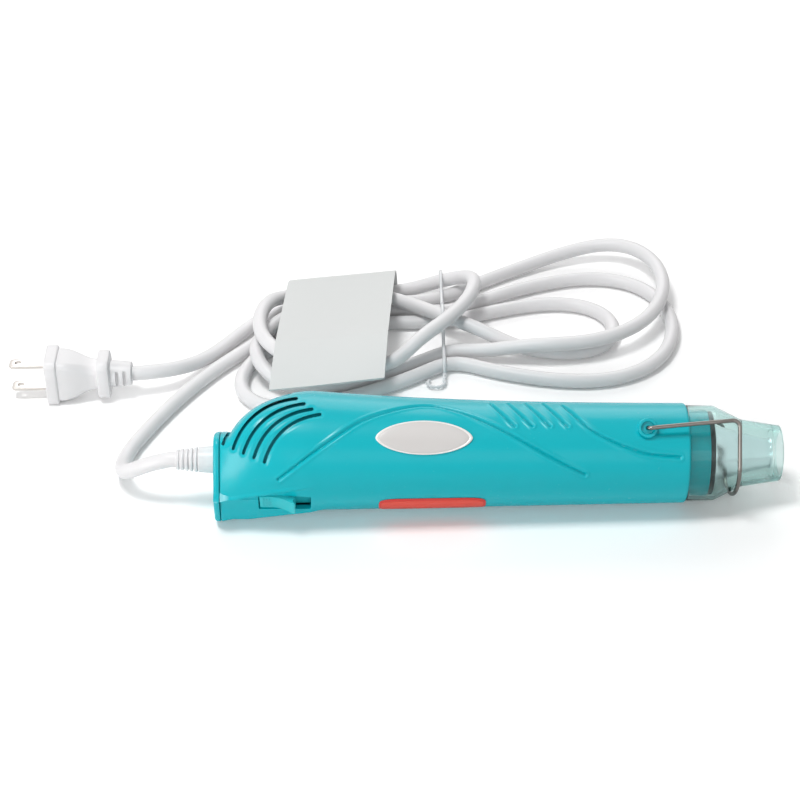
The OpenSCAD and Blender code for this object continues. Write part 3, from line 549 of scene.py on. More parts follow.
def metal(name, color, roughness):
    """Bright metal with a fine grain."""
    mat, tree, shader = material(name, color, roughness, 1.0)
    grain = add_noise(tree, 400, 4)
    vary_roughness(tree, shader, grain.outputs["Fac"], roughness * 0.75, roughness * 1.3)
    add_bump(tree, shader, grain.outputs["Fac"], 0.05, 0.0001)
    return mat


def white_pvc():
    """Soft white plastic of the lead, plug and sleeve."""
    mat, tree, shader = material("white_pvc", srgb(226, 225, 226), 0.38, IOR=1.48)
    soft = add_noise(tree, 60, 3)
    vary_roughness(tree, shader, soft.outputs["Fac"], 0.32, 0.46)
    vary_color(tree, shader, soft.outputs["Fac"], srgb(220, 219, 220), srgb(230, 229, 230))
    add_bump(tree, shader, soft.outputs["Fac"], 0.08, 0.0004)
    return mat


def plain(name, color, roughness, scale=300, strength=0.1):
    """A plain surface with a little grain."""
    mat, tree, shader = material(name, color, roughness)
    grain = add_noise(tree, scale, 3)
    vary_roughness(tree, shader, grain.outputs["Fac"], roughness * 0.85, min(1, roughness * 1.15))
    add_bump(tree, shader, grain.outputs["Fac"], strength, 0.0002)
    return mat


# Shapes of the housing, as functions of X and of the angle from straight down in degrees

def rest_d(x):
    """Distance from the axis to the facets that the tool can lie on."""
    return FRONT_R + TAPER * (BODY_L - x)


def half_w(x):
    """Half width, which closes in towards the rear."""
    back = np.clip((HUMP_X - x) / PLAN_L, 0, 1)
    return rest_d(x) * np.sqrt(1 - back ** 2)


def top_h(x):
    """Height of the top above the axis: a dome at the rear, then a slow fall."""
    dome = HUMP_H * np.sqrt(np.clip(1 - ((HUMP_X - x) / DOME_L) ** 2, 0, 1))
    ahead = np.clip((BODY_L - x) / (BODY_L - HUMP_X), 0, 1)
    crown = FRONT_R + (HUMP_H - FRONT_R) * ahead ** CROWN_POWER
    return np.where(x < HUMP_X, np.maximum(PLATE_H, dome), crown)


def deep_h(x):
    """Depth of the round underside that just meets the facets."""
    return np.sqrt(rest_d(x) ** 2 - (half_w(x) * math.sin(FACET)) ** 2) / math.cos(FACET)


def keel_d(x):
    """Depth of the keel below the axis."""
    return np.maximum(deep_h(x), KEEL_H - KEEL_SLOPE * np.maximum(0, x - KEEL_FLAT_X))


def round_n(x):
    """Power of the section's curve, squarer at the rear."""
    return 2 + (REAR_POWER - 2) * (1 - smooth((x - SHELL_X0) / (HUMP_X - SHELL_X0)))


def shell_r(x, degrees):
    """Radius of the housing at X in a direction counted from straight down."""
    a = np.radians(degrees)
    w = half_w(x)
    n = round_n(x)
    upper = ((np.abs(np.sin(a)) / w) ** n + (np.abs(np.cos(a)) / top_h(x)) ** n) ** (-1 / n)
    lower = w * deep_h(x) / np.sqrt((deep_h(x) * np.sin(a)) ** 2 + (w * np.cos(a)) ** 2)
    keel = keel_d(x) / np.maximum(np.cos(a), 0.2)
    flat = np.minimum(rest_d(x) / np.cos(FACET - a), np.maximum(lower, keel))
    keeled = np.where(a < FACET, flat, lower)
    part = 1 - smooth((x - FACET_END) / FACET_FADE)
    return np.where(a > math.pi / 2, upper, lower + (keeled - lower) * part)


def side_y(x, z):
    """Half width of the housing at X and height z."""
    n = round_n(x)
    up = half_w(x) * (1 - np.clip(z / top_h(x), 0, 1) ** n) ** (1 / n)
    down = half_w(x) * np.sqrt(np.clip(1 - (z / deep_h(x)) ** 2, 0, 1))
    return np.where(z > 0, up, down)


# Meshes

def build(name, points, faces):
    """A closed mesh in the tool's millimetres, its faces turned outward."""
    mesh = bpy.data.meshes.new(name)
    mesh.from_pydata([tuple(p) for p in points], [], [tuple(f) for f in faces])
    mesh.validate()
    work = bmesh.new()
    work.from_mesh(mesh)
    bmesh.ops.recalc_face_normals(work, faces=work.faces)
    work.to_mesh(mesh)
    work.free()
    return link(name, mesh)


def dress(obj, finish, body="tool", sharp=35, look=None):
    """Gives a piece its material, body and shading."""
    obj.data.materials.clear()
    obj.data.materials.append(look or FINISH[finish])
    if obj.type == "MESH":
        obj.data.shade_smooth()
        obj.data.set_sharp_from_angle(angle=math.radians(sharp))
    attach(obj, body)


def loft(rings, ends=True):
    """Points and faces through rings of equal count, with flat ends."""
    n = len(rings[0])
    points = [p for ring in rings for p in ring]
    faces = [(i * n + k, (i + 1) * n + k, (i + 1) * n + (k + 1) % n, i * n + (k + 1) % n)
             for i in range(len(rings) - 1) for k in range(n)]
    if ends:
        faces.append(tuple(range(n))[::-1])
        faces.append(tuple((len(rings) - 1) * n + k for k in range(n)))
    return points, faces


def closed(rings):
    """Points and faces through rings that come back to the first."""
    points, faces = loft(rings + [rings[0]], ends=False)
    total = len(rings) * len(rings[0])
    return points[:total], [tuple(i % total for i in f) for f in faces]


def turned(profile, segments=96, z=0.0):
    """A closed profile of X and radius, turned about a line along X."""
    rings = []
    for k in range(segments):
        a = 2 * math.pi * k / segments
        rings.append([(x, r * math.sin(a), z - r * math.cos(a)) for x, r in profile])
    return closed(rings)


def rounded(profile, radius, steps=4):
    """Rounds the corners of a closed profile of X and radius."""
    out = []
    n = len(profile)
    for i in range(n):
        p = np.array(profile[i], dtype=float)
        a = np.array(profile[i - 1], dtype=float) - p
        b = np.array(profile[(i + 1) % n], dtype=float) - p
        r = min(radius, 0.4 * np.linalg.norm(a), 0.4 * np.linalg.norm(b))
        start = p + a / np.linalg.norm(a) * r
        end = p + b / np.linalg.norm(b) * r
        for k in range(steps + 1):
            t = k / steps
            out.append(tuple((1 - t) ** 2 * start + 2 * t * (1 - t) * p + t * t * end))
    return out


def cylinder(start, end, radius, sides=32):
    """A rod between two points."""
    a = Vector(start)
    v = Vector(end) - a
    turn = v.to_track_quat("Z", "Y")
    rings = []
    for height in (0, v.length):
        rings.append([tuple(a + turn @ Vector((radius * math.cos(t), radius * math.sin(t), height)))
                      for t in [2 * math.pi * k / sides for k in range(sides)]])
    return loft(rings)


def rod_across(x, z, y0, y1, radius, sides=32):
    """A rod along Y at X and height z."""
    return cylinder((x, y0, z), (x, y1, z), radius, sides)


def prism(outline, y0, y1):
    """An outline of X and z, stretched across Y."""
    return loft([[(x, y0, z) for x, z in outline], [(x, y1, z) for x, z in outline]])


def combine(obj, parts, operation):
    """Joins solids to a piece or cuts them from it."""
    for k, part in enumerate(parts):
        tool = part if isinstance(part, bpy.types.Object) else build("tool_%d" % k, *part)
        mod = obj.modifiers.new("combine", "BOOLEAN")
        mod.operation = operation
        mod.solver = "MANIFOLD"
        mod.object = tool
    graph = bpy.context.evaluated_depsgraph_get()
    mesh = bpy.data.meshes.new_from_object(obj.evaluated_get(graph))
    tools = [mod.object for mod in obj.modifiers]
    obj.modifiers.clear()
    obj.data = mesh
    for tool in tools:
        bpy.data.objects.remove(tool)


def round_rectangle(x0, x1, y0, y1, radius, steps):
    """Outline of a rectangle with rounded corners."""
    corners = [(x1 - radius, y1 - radius, 0), (x0 + radius, y1 - radius, 90),
               (x0 + radius, y0 + radius, 180), (x1 - radius, y0 + radius, 270)]
    outline = []
    for cx, cy, first in corners:
        for k in range(steps + 1):
            a = math.radians(first + 90 * k / steps)
            outline.append((cx + radius * math.cos(a), cy + radius * math.sin(a)))
    return outline


def round_box(x0, x1, y0, y1, z0, z1, radius):
    """A box with its upright corners rounded."""
    outline = round_rectangle(x0, x1, y0, y1, radius, 5)
    return loft([[(x, y, z) for x, y in outline] for z in (z0, z1)])


def on_near_facet(part):
    """Turns a part so that its Z axis is the near facet's outward normal."""
    points, faces = part
    turn = Matrix.Rotation(math.pi - FACET, 3, "X")
    return [tuple(turn @ Vector(p)) for p in points], faces


# The moulded housing

def side_line(points, side):
    """A relief line on the side, as fine points in space."""
    flat = through(points, 24) if len(points) > 2 else np.linspace(points[0], points[1], 24)
    x = flat[:, 0]
    z = flat[:, 1]
    return np.stack([x, side * side_y(x, z), z], axis=1)


def vent_line(i, steps=24):
    """Bowed middle line of one cooling slot, as X and height."""
    a, b = np.array(VENT_ENDS) + i * np.array(VENT_STEPS)
    c = b - a
    size = np.linalg.norm(c)
    up = np.array((-c[1], c[0])) / size
    t = np.linspace(0, 1, steps)[:, None]
    return a + c * t + up * VENT_BOW * size * 4 * t * (1 - t)


def vent_outline(i, width):
    """A slot's outline with round ends."""
    line = vent_line(i)
    step = directions(line)
    side = np.stack([-step[:, 1], step[:, 0]], axis=1) * width / 2
    start = math.atan2(side[0][1], side[0][0])
    end = math.atan2(-side[-1][1], -side[-1][0])
    first = [line[0] + width / 2 * np.array((math.cos(start + t), math.sin(start + t)))
             for t in np.linspace(0, math.pi, 7)[1:-1]]
    last = [line[-1] + width / 2 * np.array((math.cos(end + t), math.sin(end + t)))
            for t in np.linspace(0, math.pi, 7)[1:-1]]
    return [tuple(p) for p in list(line - side) + last + list((line + side)[::-1]) + first]


def near_lines(points, line):
    """Least distance of each point from a line of fine points."""
    best = np.full(len(points), 99.0)
    for q in line:
        best = np.minimum(best, np.linalg.norm(points - q, axis=1))
    return best


def groove(gap, depth, half_width, rise, rise_at):
    """Depth of a pressed line with raised edges, at a distance from its middle."""
    edge = np.abs(gap - rise_at) / RISE_W
    return depth * smooth(1.15 - gap / half_width) - rise * smooth(1.4 - edge)


def relief(points, side):
    """How far the moulded lines press the surface in, for points on it."""
    depth = np.zeros(len(points))
    for lines, shape in (((SWEEP_LONG, SWEEP_SHORT), SWEEP_GROOVE), (DASHES, DASH_GROOVE)):
        for line in lines:
            depth += groove(near_lines(points, side_line(line, side)), *shape)
    flat = points[:, [0, 2]]
    for i in range(VENT_N):
        depth += VENT_HOLLOW * smooth(1.6 - near_lines(flat, vent_line(i)) / (0.9 * VENT_W))
    under = CREASE_Z + CREASE_SLOPE * points[:, 0] - points[:, 2]
    hollow = 0.9 * smooth(under / 0.7) * smooth((9 - under) / 7)
    ledge = 0.45 * smooth((1.3 - np.abs(under + 0.4)) / 0.9)
    return depth + smooth((CREASE_END - points[:, 0]) / CREASE_FADE) * (hollow - ledge)


def skin(x, degrees, r, side):
    """Points at radii round the axis, ring after ring."""
    turn = np.radians(degrees)
    return np.stack([x, side * r * np.sin(turn), -r * np.cos(turn)], axis=-1).reshape(-1, 3)


def half_shell(side):
    """One moulded half: fine outside, plainer inside, a rounded front edge and a fine seam."""
    edge_x = BODY_L - 1
    rounding = edge_x + np.array([0.4, 0.7, 0.9, 1.0])
    outer_x = np.concatenate([np.linspace(SHELL_X0, edge_x, OUTER_N), rounding])
    inner_x = np.linspace(SHELL_X0, BODY_L, INNER_N)
    around = np.concatenate([[0, 0.5], np.linspace(1.4, 178.6, AROUND_N), [179.5, 180]])
    x, angle = np.meshgrid(outer_x, around, indexing="ij")
    front = np.clip(x - edge_x, 0, 1)
    rear = np.clip(1 - (x - SHELL_X0) / 0.5, 0, 1)
    r = shell_r(x, angle)
    r = r - 0.9 * (1 - np.sqrt(1 - front ** 2 * 0.98))
    r = r - SEAM_D * smooth(1 - angle / SEAM_A) - SEAM_D * smooth((angle - 180 + SEAM_A) / SEAM_A)
    r = r - 0.25 * rear ** 2
    r = r - relief(skin(x, angle, r, side), side).reshape(r.shape)
    outer = skin(x, angle, r, side)
    x, angle = np.meshgrid(inner_x, around, indexing="ij")
    inner = skin(x, angle, shell_r(x, angle) - WALL, side)
    n = len(outer_x)
    m = len(around)
    for points in (outer, inner):
        points[0::m, 1] = 0
        points[m - 1::m, 1] = 0
    base = n * m
    last = (n - 1) * m
    inner_last = (INNER_N - 1) * m
    faces = [(q + k, q + m + k, q + m + k + 1, q + k + 1)
             for q in range(0, last, m) for k in range(m - 1)]
    faces += [(q + k, q + k + 1, q + m + k + 1, q + m + k)
              for q in range(base, base + inner_last, m) for k in range(m - 1)]
    for q, q2 in ((0, base), (last, base + inner_last)):
        faces += [(q + k, q + k + 1, q2 + k + 1, q2 + k) for k in range(m - 1)]
    for k in (0, m - 1):
        faces.append([i * m + k for i in range(n)] + [base + i * m + k for i in reversed(range(INNER_N))])
    return np.concatenate([outer, inner]), faces


def housing(side, name):
    """One half of the housing with its lip, posts and boss, and what is cut out of it."""
    obj = build("shell_" + name, *half_shell(side))
    lip = [(BODY_L - LIP_T, LIP_R), (BODY_L - 0.2, LIP_R), (BODY_L - 0.2, FRONT_R - 0.7),
           (BODY_L - LIP_T, FRONT_R - 0.7)]
    half_lip = build("lip_" + name, *turned(lip, 128))
    half = loft([[(x, 0, -40), (x, 0, 40), (x, side * 60, 40), (x, side * 60, -40)]
                 for x in (BODY_L - 5, BODY_L + 5)])
    combine(half_lip, [half], "INTERSECT")
    added = []
    for x, z in SCREW_PLACES:
        reach = float(side_y(x, z + math.copysign(POST_R, z))) - 0.6
        added.append(rod_across(x, z, side * 0.02, side * reach, POST_R))
    added.append(rod_across(HINGE_X, HINGE_H, side * PIN_IN, side * (BOSS_Y - 1.2), BOSS_R - 0.05, 48))
    combine(obj, added, "UNION")
    combine(obj, [half_lip], "UNION")
    cuts = [prism(vent_outline(i, VENT_W), side * 3, side * 43) for i in range(VENT_N)]
    cuts.append(rod_across(HINGE_X, HINGE_H, side * 16, side * 30, PIN_HOLE_R))
    if side < 0:
        x0, y, long, wide = SWITCH
        deep = rest_d(x0 + long / 2)
        opening = round_box(x0, x0 + long, y - wide / 2, y + wide / 2, deep - 5, deep + 4, 0.7)
        cuts.append(on_near_facet(opening))
    else:
        cuts += [rod_across(x, z, 6, 32, SCREW_HOLE_R) for x, z in SCREW_PLACES]
    combine(obj, cuts, "DIFFERENCE")
    lay(obj)
    dress(obj, "teal_body", sharp=40)
    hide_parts("housing_" + name)


def boss_ring(side, name):
    """Raised ring round the stand's pin."""
    rim = rounded([(0, 2.9), (0, BOSS_R), (-2.5, BOSS_R), (-2.5, 1.2), (-1.6, 1.2), (-1.6, 2.6)], 0.45)
    points, faces = turned(rim, 64)
    swing = Matrix.Rotation(math.radians(90 * side), 3, "Z")
    points = [tuple(swing @ Vector(p) + Vector((HINGE_X, side * BOSS_Y, HINGE_H))) for p in points]
    ring = build("boss_ring_" + name, points, faces)
    lay(ring)
    dress(ring, "teal_body")


# Pieces outside the housing

def piece(name, part, finish, *nodes, sharp=35, look=None):
    """A piece drawn in the tool's own millimetres, in place of one or more plain ones."""
    obj = build(name, *part)
    lay(obj)
    dress(obj, finish, sharp=sharp, look=look)
    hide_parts(*(nodes or (name,)))
    return obj


def soften(obj, width, angle=35, segments=3):
    """Rounds the sharp edges of a mesh."""
    work = bmesh.new()
    work.from_mesh(obj.data)
    edges = [e for e in work.edges if e.is_manifold and e.calc_face_angle() > math.radians(angle)]
    bmesh.ops.bevel(work, geom=edges, offset=width, segments=segments, profile=0.5, affect="EDGES",
                    clamp_overlap=True)
    work.to_mesh(obj.data)
    work.free()


def pipe(name, points, radius, finish, body, nodes):
    """A round wire along fine points that are already in the row frame."""
    obj = round_curve(name, points, radius, 5)
    dress(obj, finish, body)
    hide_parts(*nodes)
    return obj


def vent_shade_sheet(side, name):
    """Teal sheet, darker than the body, against the wall behind the cooling slots: painted shade that
    stands in for the unlit inside of the housing.
    """
    rings = []
    a = np.linspace(78, 178.5, 70)
    for x in np.linspace(5, 50, 60):
        ring = []
        for inset, angles in ((0.15, a), (0.5, a[::-1])):
            r = shell_r(np.full(len(angles), x), angles) - WALL - inset
            t = np.radians(angles)
            ring += [(x, side * b * math.sin(c), -b * math.cos(c)) for b, c in zip(r, t)]
        rings.append(ring)
    obj = build("vent_shade_sheet_" + name, *loft(rings))
    lay(obj)
    dress(obj, "dark_insulator", sharp=60, look=vent_shade)


def rear_cap():
    """End plate with a rounded rim, a shallow raised border and a spigot in the housing."""
    degrees = np.linspace(0, 360, 180, endpoint=False)
    fold = np.where(degrees > 180, 360 - degrees, degrees)
    turn = np.radians(degrees)
    spigot = WALL + FIT_GAP
    rim = [(0.45, 12.5), (0.45, 4.2), (0.3, 3.7), (0.02, 3.4), (0.0, 2.9), (0.0, 1.9)]
    for k in range(9):
        a = math.radians(90 * k / 8)
        rim.append((1.5 - 1.5 * math.cos(a), 1.5 - 1.45 * math.sin(a)))
    rim += [(PLATE_T - 0.25, 0.05), (PLATE_T - 0.05, 0.12), (PLATE_T, 0.3), (PLATE_T, spigot),
            (PLATE_T + 3.1, spigot), (PLATE_T + 3.4, spigot + 0.3)]
    rings = []
    for x, inset in rim:
        r = shell_r(np.full(len(degrees), SHELL_X0), fold) - inset
        rings.append([(x, b * math.sin(t), -b * math.cos(t)) for b, t in zip(r, turn)])
    obj = build("end_plate", *loft(rings))
    combine(obj, [cylinder((-1, 0, CORD_Z), (8, 0, CORD_Z), RELIEF_R - 0.9, 64)], "DIFFERENCE")
    lay(obj)
    dress(obj, "teal_body", sharp=50)
    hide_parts("rear_cap")


def nozzle():
    """Collar, black insulator, metal cone and the clear guard round them."""
    x = BODY_L
    x0 = BARREL_X1
    bore = BARREL_R + FIT_GAP
    flange_r = FRONT_R - WALL - 0.1
    collar = [(x - 5.4, bore), (x + COLLAR_L, bore), (x + COLLAR_L, COLLAR_R),
              (x - LIP_T - 0.3, COLLAR_R), (x - LIP_T - 0.3, flange_r), (x - 5.4, flange_r)]
    # The collar's darker teal is painted shade for its place inside the guard
    piece("front_collar", turned(rounded(collar, 0.6), 128), "teal_body", look=shaded_collar_teal)
    ring = [(x + COLLAR_L, bore), (x0, bore), (x0, COLLAR_R - 0.6), (x + COLLAR_L, COLLAR_R - 0.6)]
    piece("insulator_ring", turned(rounded(ring, 0.35), 128), "dark_insulator")
    cone = [(x0, BARREL_R - SHEET_T), (x0, BARREL_R + 3.4), (x0 + 0.8, BARREL_R + 3.4),
            (x0 + 0.9, BARREL_R), (x0 + 6.5, BARREL_R - 1.2), (CONE_X1 - 8, TIP_R + 1.5),
            (CONE_X1 - 1.2, TIP_R), (CONE_X1, TIP_R), (CONE_X1, TIP_R - SHEET_T),
            (CONE_X1 - 1.2, TIP_R - SHEET_T), (CONE_X1 - 8, TIP_R + 1.5 - SHEET_T),
            (x0 + 6.5, BARREL_R - 1.2 - SHEET_T), (x0 + 0.9, BARREL_R - SHEET_T)]
    piece("outlet_cone", turned(rounded(cone, 0.3), 128), "steel")
    bead = [(CONE_X1 - 0.9, TIP_R - 0.1), (CONE_X1 - 0.9, TIP_R + 0.5), (CONE_X1, TIP_R + 0.5),
            (CONE_X1, TIP_R - 0.1)]
    piece("cone_bead", turned(rounded(bead, 0.3), 96), "steel", "outlet_cone")
    tube = [(117, BARREL_R - SHEET_T), (117, BARREL_R), (x0, BARREL_R), (x0, BARREL_R - SHEET_T)]
    piece("heater_barrel", turned(rounded(tube, 0.15, 2), 96), "steel")
    lip_r = MOUTH_R + 2.6
    guard = [(x, SHROUD_R), (x + SHOULDER_L, SHROUD_R - 0.2), (x + NECK_L, NECK_R), (CONE_X1, lip_r),
             (x + SHROUD_L, MOUTH_R + 2.1), (x + SHROUD_L, MOUTH_R), (CONE_X1, MOUTH_R),
             (CONE_X1, lip_r - SHROUD_T), (x + NECK_L, NECK_R - SHROUD_T),
             (x + SHOULDER_L, LIP_R - 0.04), (x, LIP_R)]
    piece("nozzle_shroud", turned(rounded(guard, 0.8, 6), 160), "clear_guard", sharp=60)


def stand():
    """Bent wire bail: pins in the bosses, legs, corners and the half loop under the nozzle."""
    bend = 1.6

    def half(side):
        """The wire from one pin round to the loop's lowest part."""
        line = [(HINGE_X, side * y, HINGE_H) for y in np.linspace(PIN_IN + 0.4, LEG_Y - bend, 10)]
        for k in range(1, 9):
            a = math.radians(90 - 90 * k / 8)
            line.append((HINGE_X + bend - bend * math.sin(a), side * (LEG_Y - bend + bend * math.cos(a)),
                         HINGE_H))
        leg = [(HINGE_X + 4, side * LEG_Y, HINGE_H + 0.3),
               (HINGE_X + 18, side * (LEG_Y - 0.2), mix(HINGE_H, CORNER_Z, 0.5)),
               (HINGE_X + 31, side * (LEG_Y - 1.1), mix(HINGE_H, CORNER_Z, 0.85)),
               (LOOP_X - CORNER_R, side * LOOP_R, CORNER_Z)]
        line += [tuple(q) for q in through(leg, 10)]
        for k in range(1, 13):
            a = math.radians(90 * k / 12)
            line.append((LOOP_X - CORNER_R + CORNER_R * math.sin(a), side * LOOP_R,
                         CORNER_Z - CORNER_R * (1 - math.cos(a))))
        line += [(LOOP_X, side * LOOP_R, z) for z in np.linspace(10, -LOOP_SIDE, 14)]
        for k in range(1, 31):
            a = math.radians(90 * k / 31)
            line.append((LOOP_X, side * LOOP_R * math.cos(a),
                         -LOOP_SIDE - (LOOP_DROP - LOOP_SIDE) * math.sin(a)))
        return line

    line = half(-1) + [(LOOP_X, 0, -LOOP_DROP)] + half(1)[::-1]
    place = Matrix.Scale(MM, 4) @ LAID
    points = [place @ Vector(q) for q in line]
    pipe("stand_wire_bail", points, WIRE_R - 0.01, "stand_wire", "stand", ["wire_stand"])


def switch():
    """Sliding thumb piece with a curved fin, on a plate that covers the opening."""
    x0, y, long, wide = SWITCH
    deep = rest_d(x0 + long / 2)
    thumb_l = long - SWITCH_TRAVEL - 1.2
    thumb_w = wide - 0.8
    half = thumb_w / 2
    plate = deep - WALL - 1.5
    top = deep - 0.5
    start = x0 + 0.5
    tip = start + thumb_l
    low = plate - 0.6
    outline = [(start, low), (start, top - 0.5), (start + 0.15, top - 0.15), (start + 0.5, top)]
    for t in np.linspace(0, 1, 16):
        outline.append((mix(tip - 11.5, tip - 0.9, t), top + 3.5 * t ** 2.1))
    outline += [(tip - 0.45, top + 3.55), (tip - 0.12, top + 3.3)]
    for t in np.linspace(0, 1, 8)[1:]:
        outline.append((tip - 0.12 - 1.5 * math.sin(math.pi * t) * 0.55, top + 3.3 - 3.3 * t))
    outline += [(tip, top - 0.2), (tip, low)]
    mid_x = start + thumb_l / 2
    mid_z = top - 1.5
    rings = []
    for at, inset in ((-half, 0.35), (0.12 - half, 0.1), (0.4 - half, 0),
                      (half - 0.4, 0), (half - 0.12, 0.1), (half, 0.35)):
        ring = []
        for px, pz in outline:
            dx = px - mid_x
            dz = pz - mid_z
            size = math.hypot(dx, dz)
            ring.append((px - dx / size * inset, y + at, pz - dz / size * inset))
        rings.append(ring)
    cap = build("thumb", *on_near_facet(loft(rings)))
    parts = [
        round_box(start - 0.2, tip - 0.6, y - half - 1.2, y + half + 1.2, plate - 1.1, plate, 0.8),
        round_box(x0 + 6, x0 + 8, y - 1, y + 1, plate - 4, plate - 0.5, 0.3),
        round_box(tip - 1.2, x0 + long - 0.4, y - half - 0.7, y + half + 0.7,
                  plate - 0.75, plate + 0.15, 0.5),
        round_box(14.3, start + 1.0, y - 4.3, y + 4.3, plate - 1.0, plate - 0.2, 0.5),
    ]
    for k in range(3):
        rib_x = start + 1.4 + 1.3 * k
        parts.append(round_box(rib_x, rib_x + 0.5, y - half + 1, y + half - 1, top - 0.4, top + 0.3, 0.2))
    combine(cap, [on_near_facet(part) for part in parts], "UNION")
    lay(cap)
    dress(cap, "teal_body", "thumb", 40, light_teal)
    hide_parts("switch_thumb")


def badge():
    """Lens-shaped plate with a fine groove inside a light rim."""
    mid_x, mid_z, long, tall = BADGE
    outline = []
    for k in range(120):
        a = 2 * math.pi * k / 120
        rise = math.copysign(abs(math.sin(a)) ** 1.2, math.sin(a))
        outline.append((long * math.cos(a), tall * rise))

    def rings(steps):
        """The outline at each scale, and at its height over the housing."""
        made = []
        for scale, out in steps:
            ring = []
            for dx, dz in outline:
                x = mid_x + dx * max(scale, 0.002)
                z = mid_z + dz * max(scale, 0.002)
                ring.append((x, -float(side_y(x, z)) - out, z))
            made.append(ring)
        return made

    rim = [(0.9, 0.15), (0.985, 0.15), (0.995, 0.3), (0.995, 0.55), (0.985, 0.7), (0.965, 0.78),
           (0.945, 0.76), (0.93, 0.62), (0.9, 0.6)]
    field = [(0.0, 0.12), (0.5, 0.12), (0.92, 0.12), (0.925, 0.62), (0.915, 0.68), (0.8, 0.7), (0.6, 0.7),
             (0.4, 0.7), (0.2, 0.7), (0.0, 0.7)]
    piece("badge_border", closed(rings(rim)), "plate_light", "badge", sharp=50, look=rim_light)
    piece("badge_field", loft(rings(field)), "plate_light", "badge", sharp=50)


def label():
    """Strip with rounded ends along the edge of the near facet."""
    x0, x1 = LABEL_X
    a0, a1 = LABEL_A
    half = (x1 - x0) / 2
    mid = (x0 + x1) / 2
    tall = (a1 - a0) / 2
    edge = [(0.0, 0.1), (0.98, 0.1), (1.0, 0.16), (1.0, 0.3), (0.985, 0.34), (0.6, 0.34), (0.0, 0.34)]
    field = [(0.0, 0.3), (0.99, 0.3), (1.0, 0.34), (0.99, 0.39), (0.6, 0.4), (0.0, 0.4)]
    for name, full, steps, look in (("strip_edge", 1.0, edge, red),
                                    ("strip_field", 0.72, field, red_field)):
        rings = []
        for scale, out in steps:
            ring = []
            for k in range(96):
                a = 2 * math.pi * k / 96
                c = math.copysign(abs(math.cos(a)) ** 0.25, math.cos(a))
                d = math.copysign(abs(math.sin(a)) ** 0.45, math.sin(a))
                x = mid + (half - 4 * (1 - scale * full)) * c if scale else mid
                angle = (a0 + a1) / 2 + tall * d * scale * full
                r = float(shell_r(x, angle)) + out
                t = math.radians(angle)
                ring.append((x, -r * math.sin(t), -r * math.cos(t)))
            rings.append(ring)
        piece(name, loft(rings), "strip_red", "side_label", sharp=50, look=look)


def strain_relief():
    """Ribbed sleeve on the rear plate with its collar, neck and inner flange."""
    bore = CORD_R + 0.05
    inside = PLATE_T + 3.4
    step = (RELIEF_L + RIBS_X) / RELIEF_RIBS
    neck = RELIEF_R - 1
    line = [(inside + 1.5, bore), (inside + 1.5, 6.6), (inside + 0.1, 6.6), (inside + 0.1, neck),
            (-0.1, neck), (-0.1, RELIEF_R + 0.5), (-1.2, RELIEF_R + 0.45), (-5.5, RELIEF_R + 0.05),
            (RIBS_X, RELIEF_R)]
    for k in range(RELIEF_RIBS):
        x = RIBS_X - k * step
        r = RELIEF_R - 0.24 * k
        low = max(bore + 0.45, r - 1.1)
        line += [(x - 0.05, low), (x - 0.5, low), (x - 0.6, r - 0.05), (x - step + 0.2, r - 0.2)]
    line += [(-RELIEF_L + 0.2, bore + 0.5), (-RELIEF_L, bore)]
    piece("strain_relief", turned(rounded(line, 0.22, 3), 96, z=CORD_Z), "cord_white", sharp=50)


def plug():
    """Moulded two-blade plug: face flange, waisted body, finger flange and slotted sleeve."""
    face = PLUG_FACE
    front = [(1.5, 0.8, 0.8, 2.6), (1.75, 0.3, 0.3, 2.9), (2.4, 0, 0, 3.2), (6.2, 0, 0, 3.2),
             (6.8, 0.3, 0.3, 3), (7.1, 1.0, 1.0, 3)]
    for t in np.linspace(0, 1, 16):
        waist = smooth(t) ** 1.3
        front.append((7.3 + 18.2 * t, 1.6 + 5.5 * waist, 2.6 + 8.5 * waist, 3.2 + 0.8 * waist))
    back = [(25.9, 5, 7.4, 3.8), (26.2, 3.4, 4.4, 3.8), (26.9, 2.9, 3.7, 4), (30.6, 2.9, 3.7, 4),
            (31.4, 3.4, 4.4, 3.8), (31.8, 5, 7.4, 3.8)]
    rings = []
    for x, less_wide, less_tall, radius in front + back:
        half_y = (PLUG_W - less_wide) / 2
        half_z = (PLUG_H - less_tall) / 2
        ring = round_rectangle(-half_y, half_y, -half_z, half_z, radius, 15)
        rings.append([(face + x, y, z) for y, z in ring])
    body = build("plug_moulding", *loft(rings))
    sleeve = rounded([(face + 31.5, 0.5), (face + 31.5, 6.6), (face + 37.5, 6.1),
                      (-0.2, 5.7), (0.0, 5.4), (0.0, 0.5)], 0.4, 3)
    combine(body, [turned(sleeve, 64)], "UNION")
    cuts = []
    for x in (face + 34.5, face + 38.0):
        for y in (-6.4, 6.4):
            cuts.append(round_box(x, x + 1.6, y - 2.3, y + 2.3, -4.2, 4.2, 0.3))
    for z in (-BLADE_GAP / 2, BLADE_GAP / 2):
        cuts.append(loft([[(x, -3.3, z - 0.9), (x, 3.3, z - 0.9), (x, 3.3, z + 0.9), (x, -3.3, z + 0.9)]
                          for x in (face - 1, face + 7)]))
    combine(body, cuts, "DIFFERENCE")
    set_down(body, PLUG)
    dress(body, "cord_white", sharp=45)
    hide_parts("plug_body")
    return [body] + [plug_blade(e) for e in (-1, 1)]


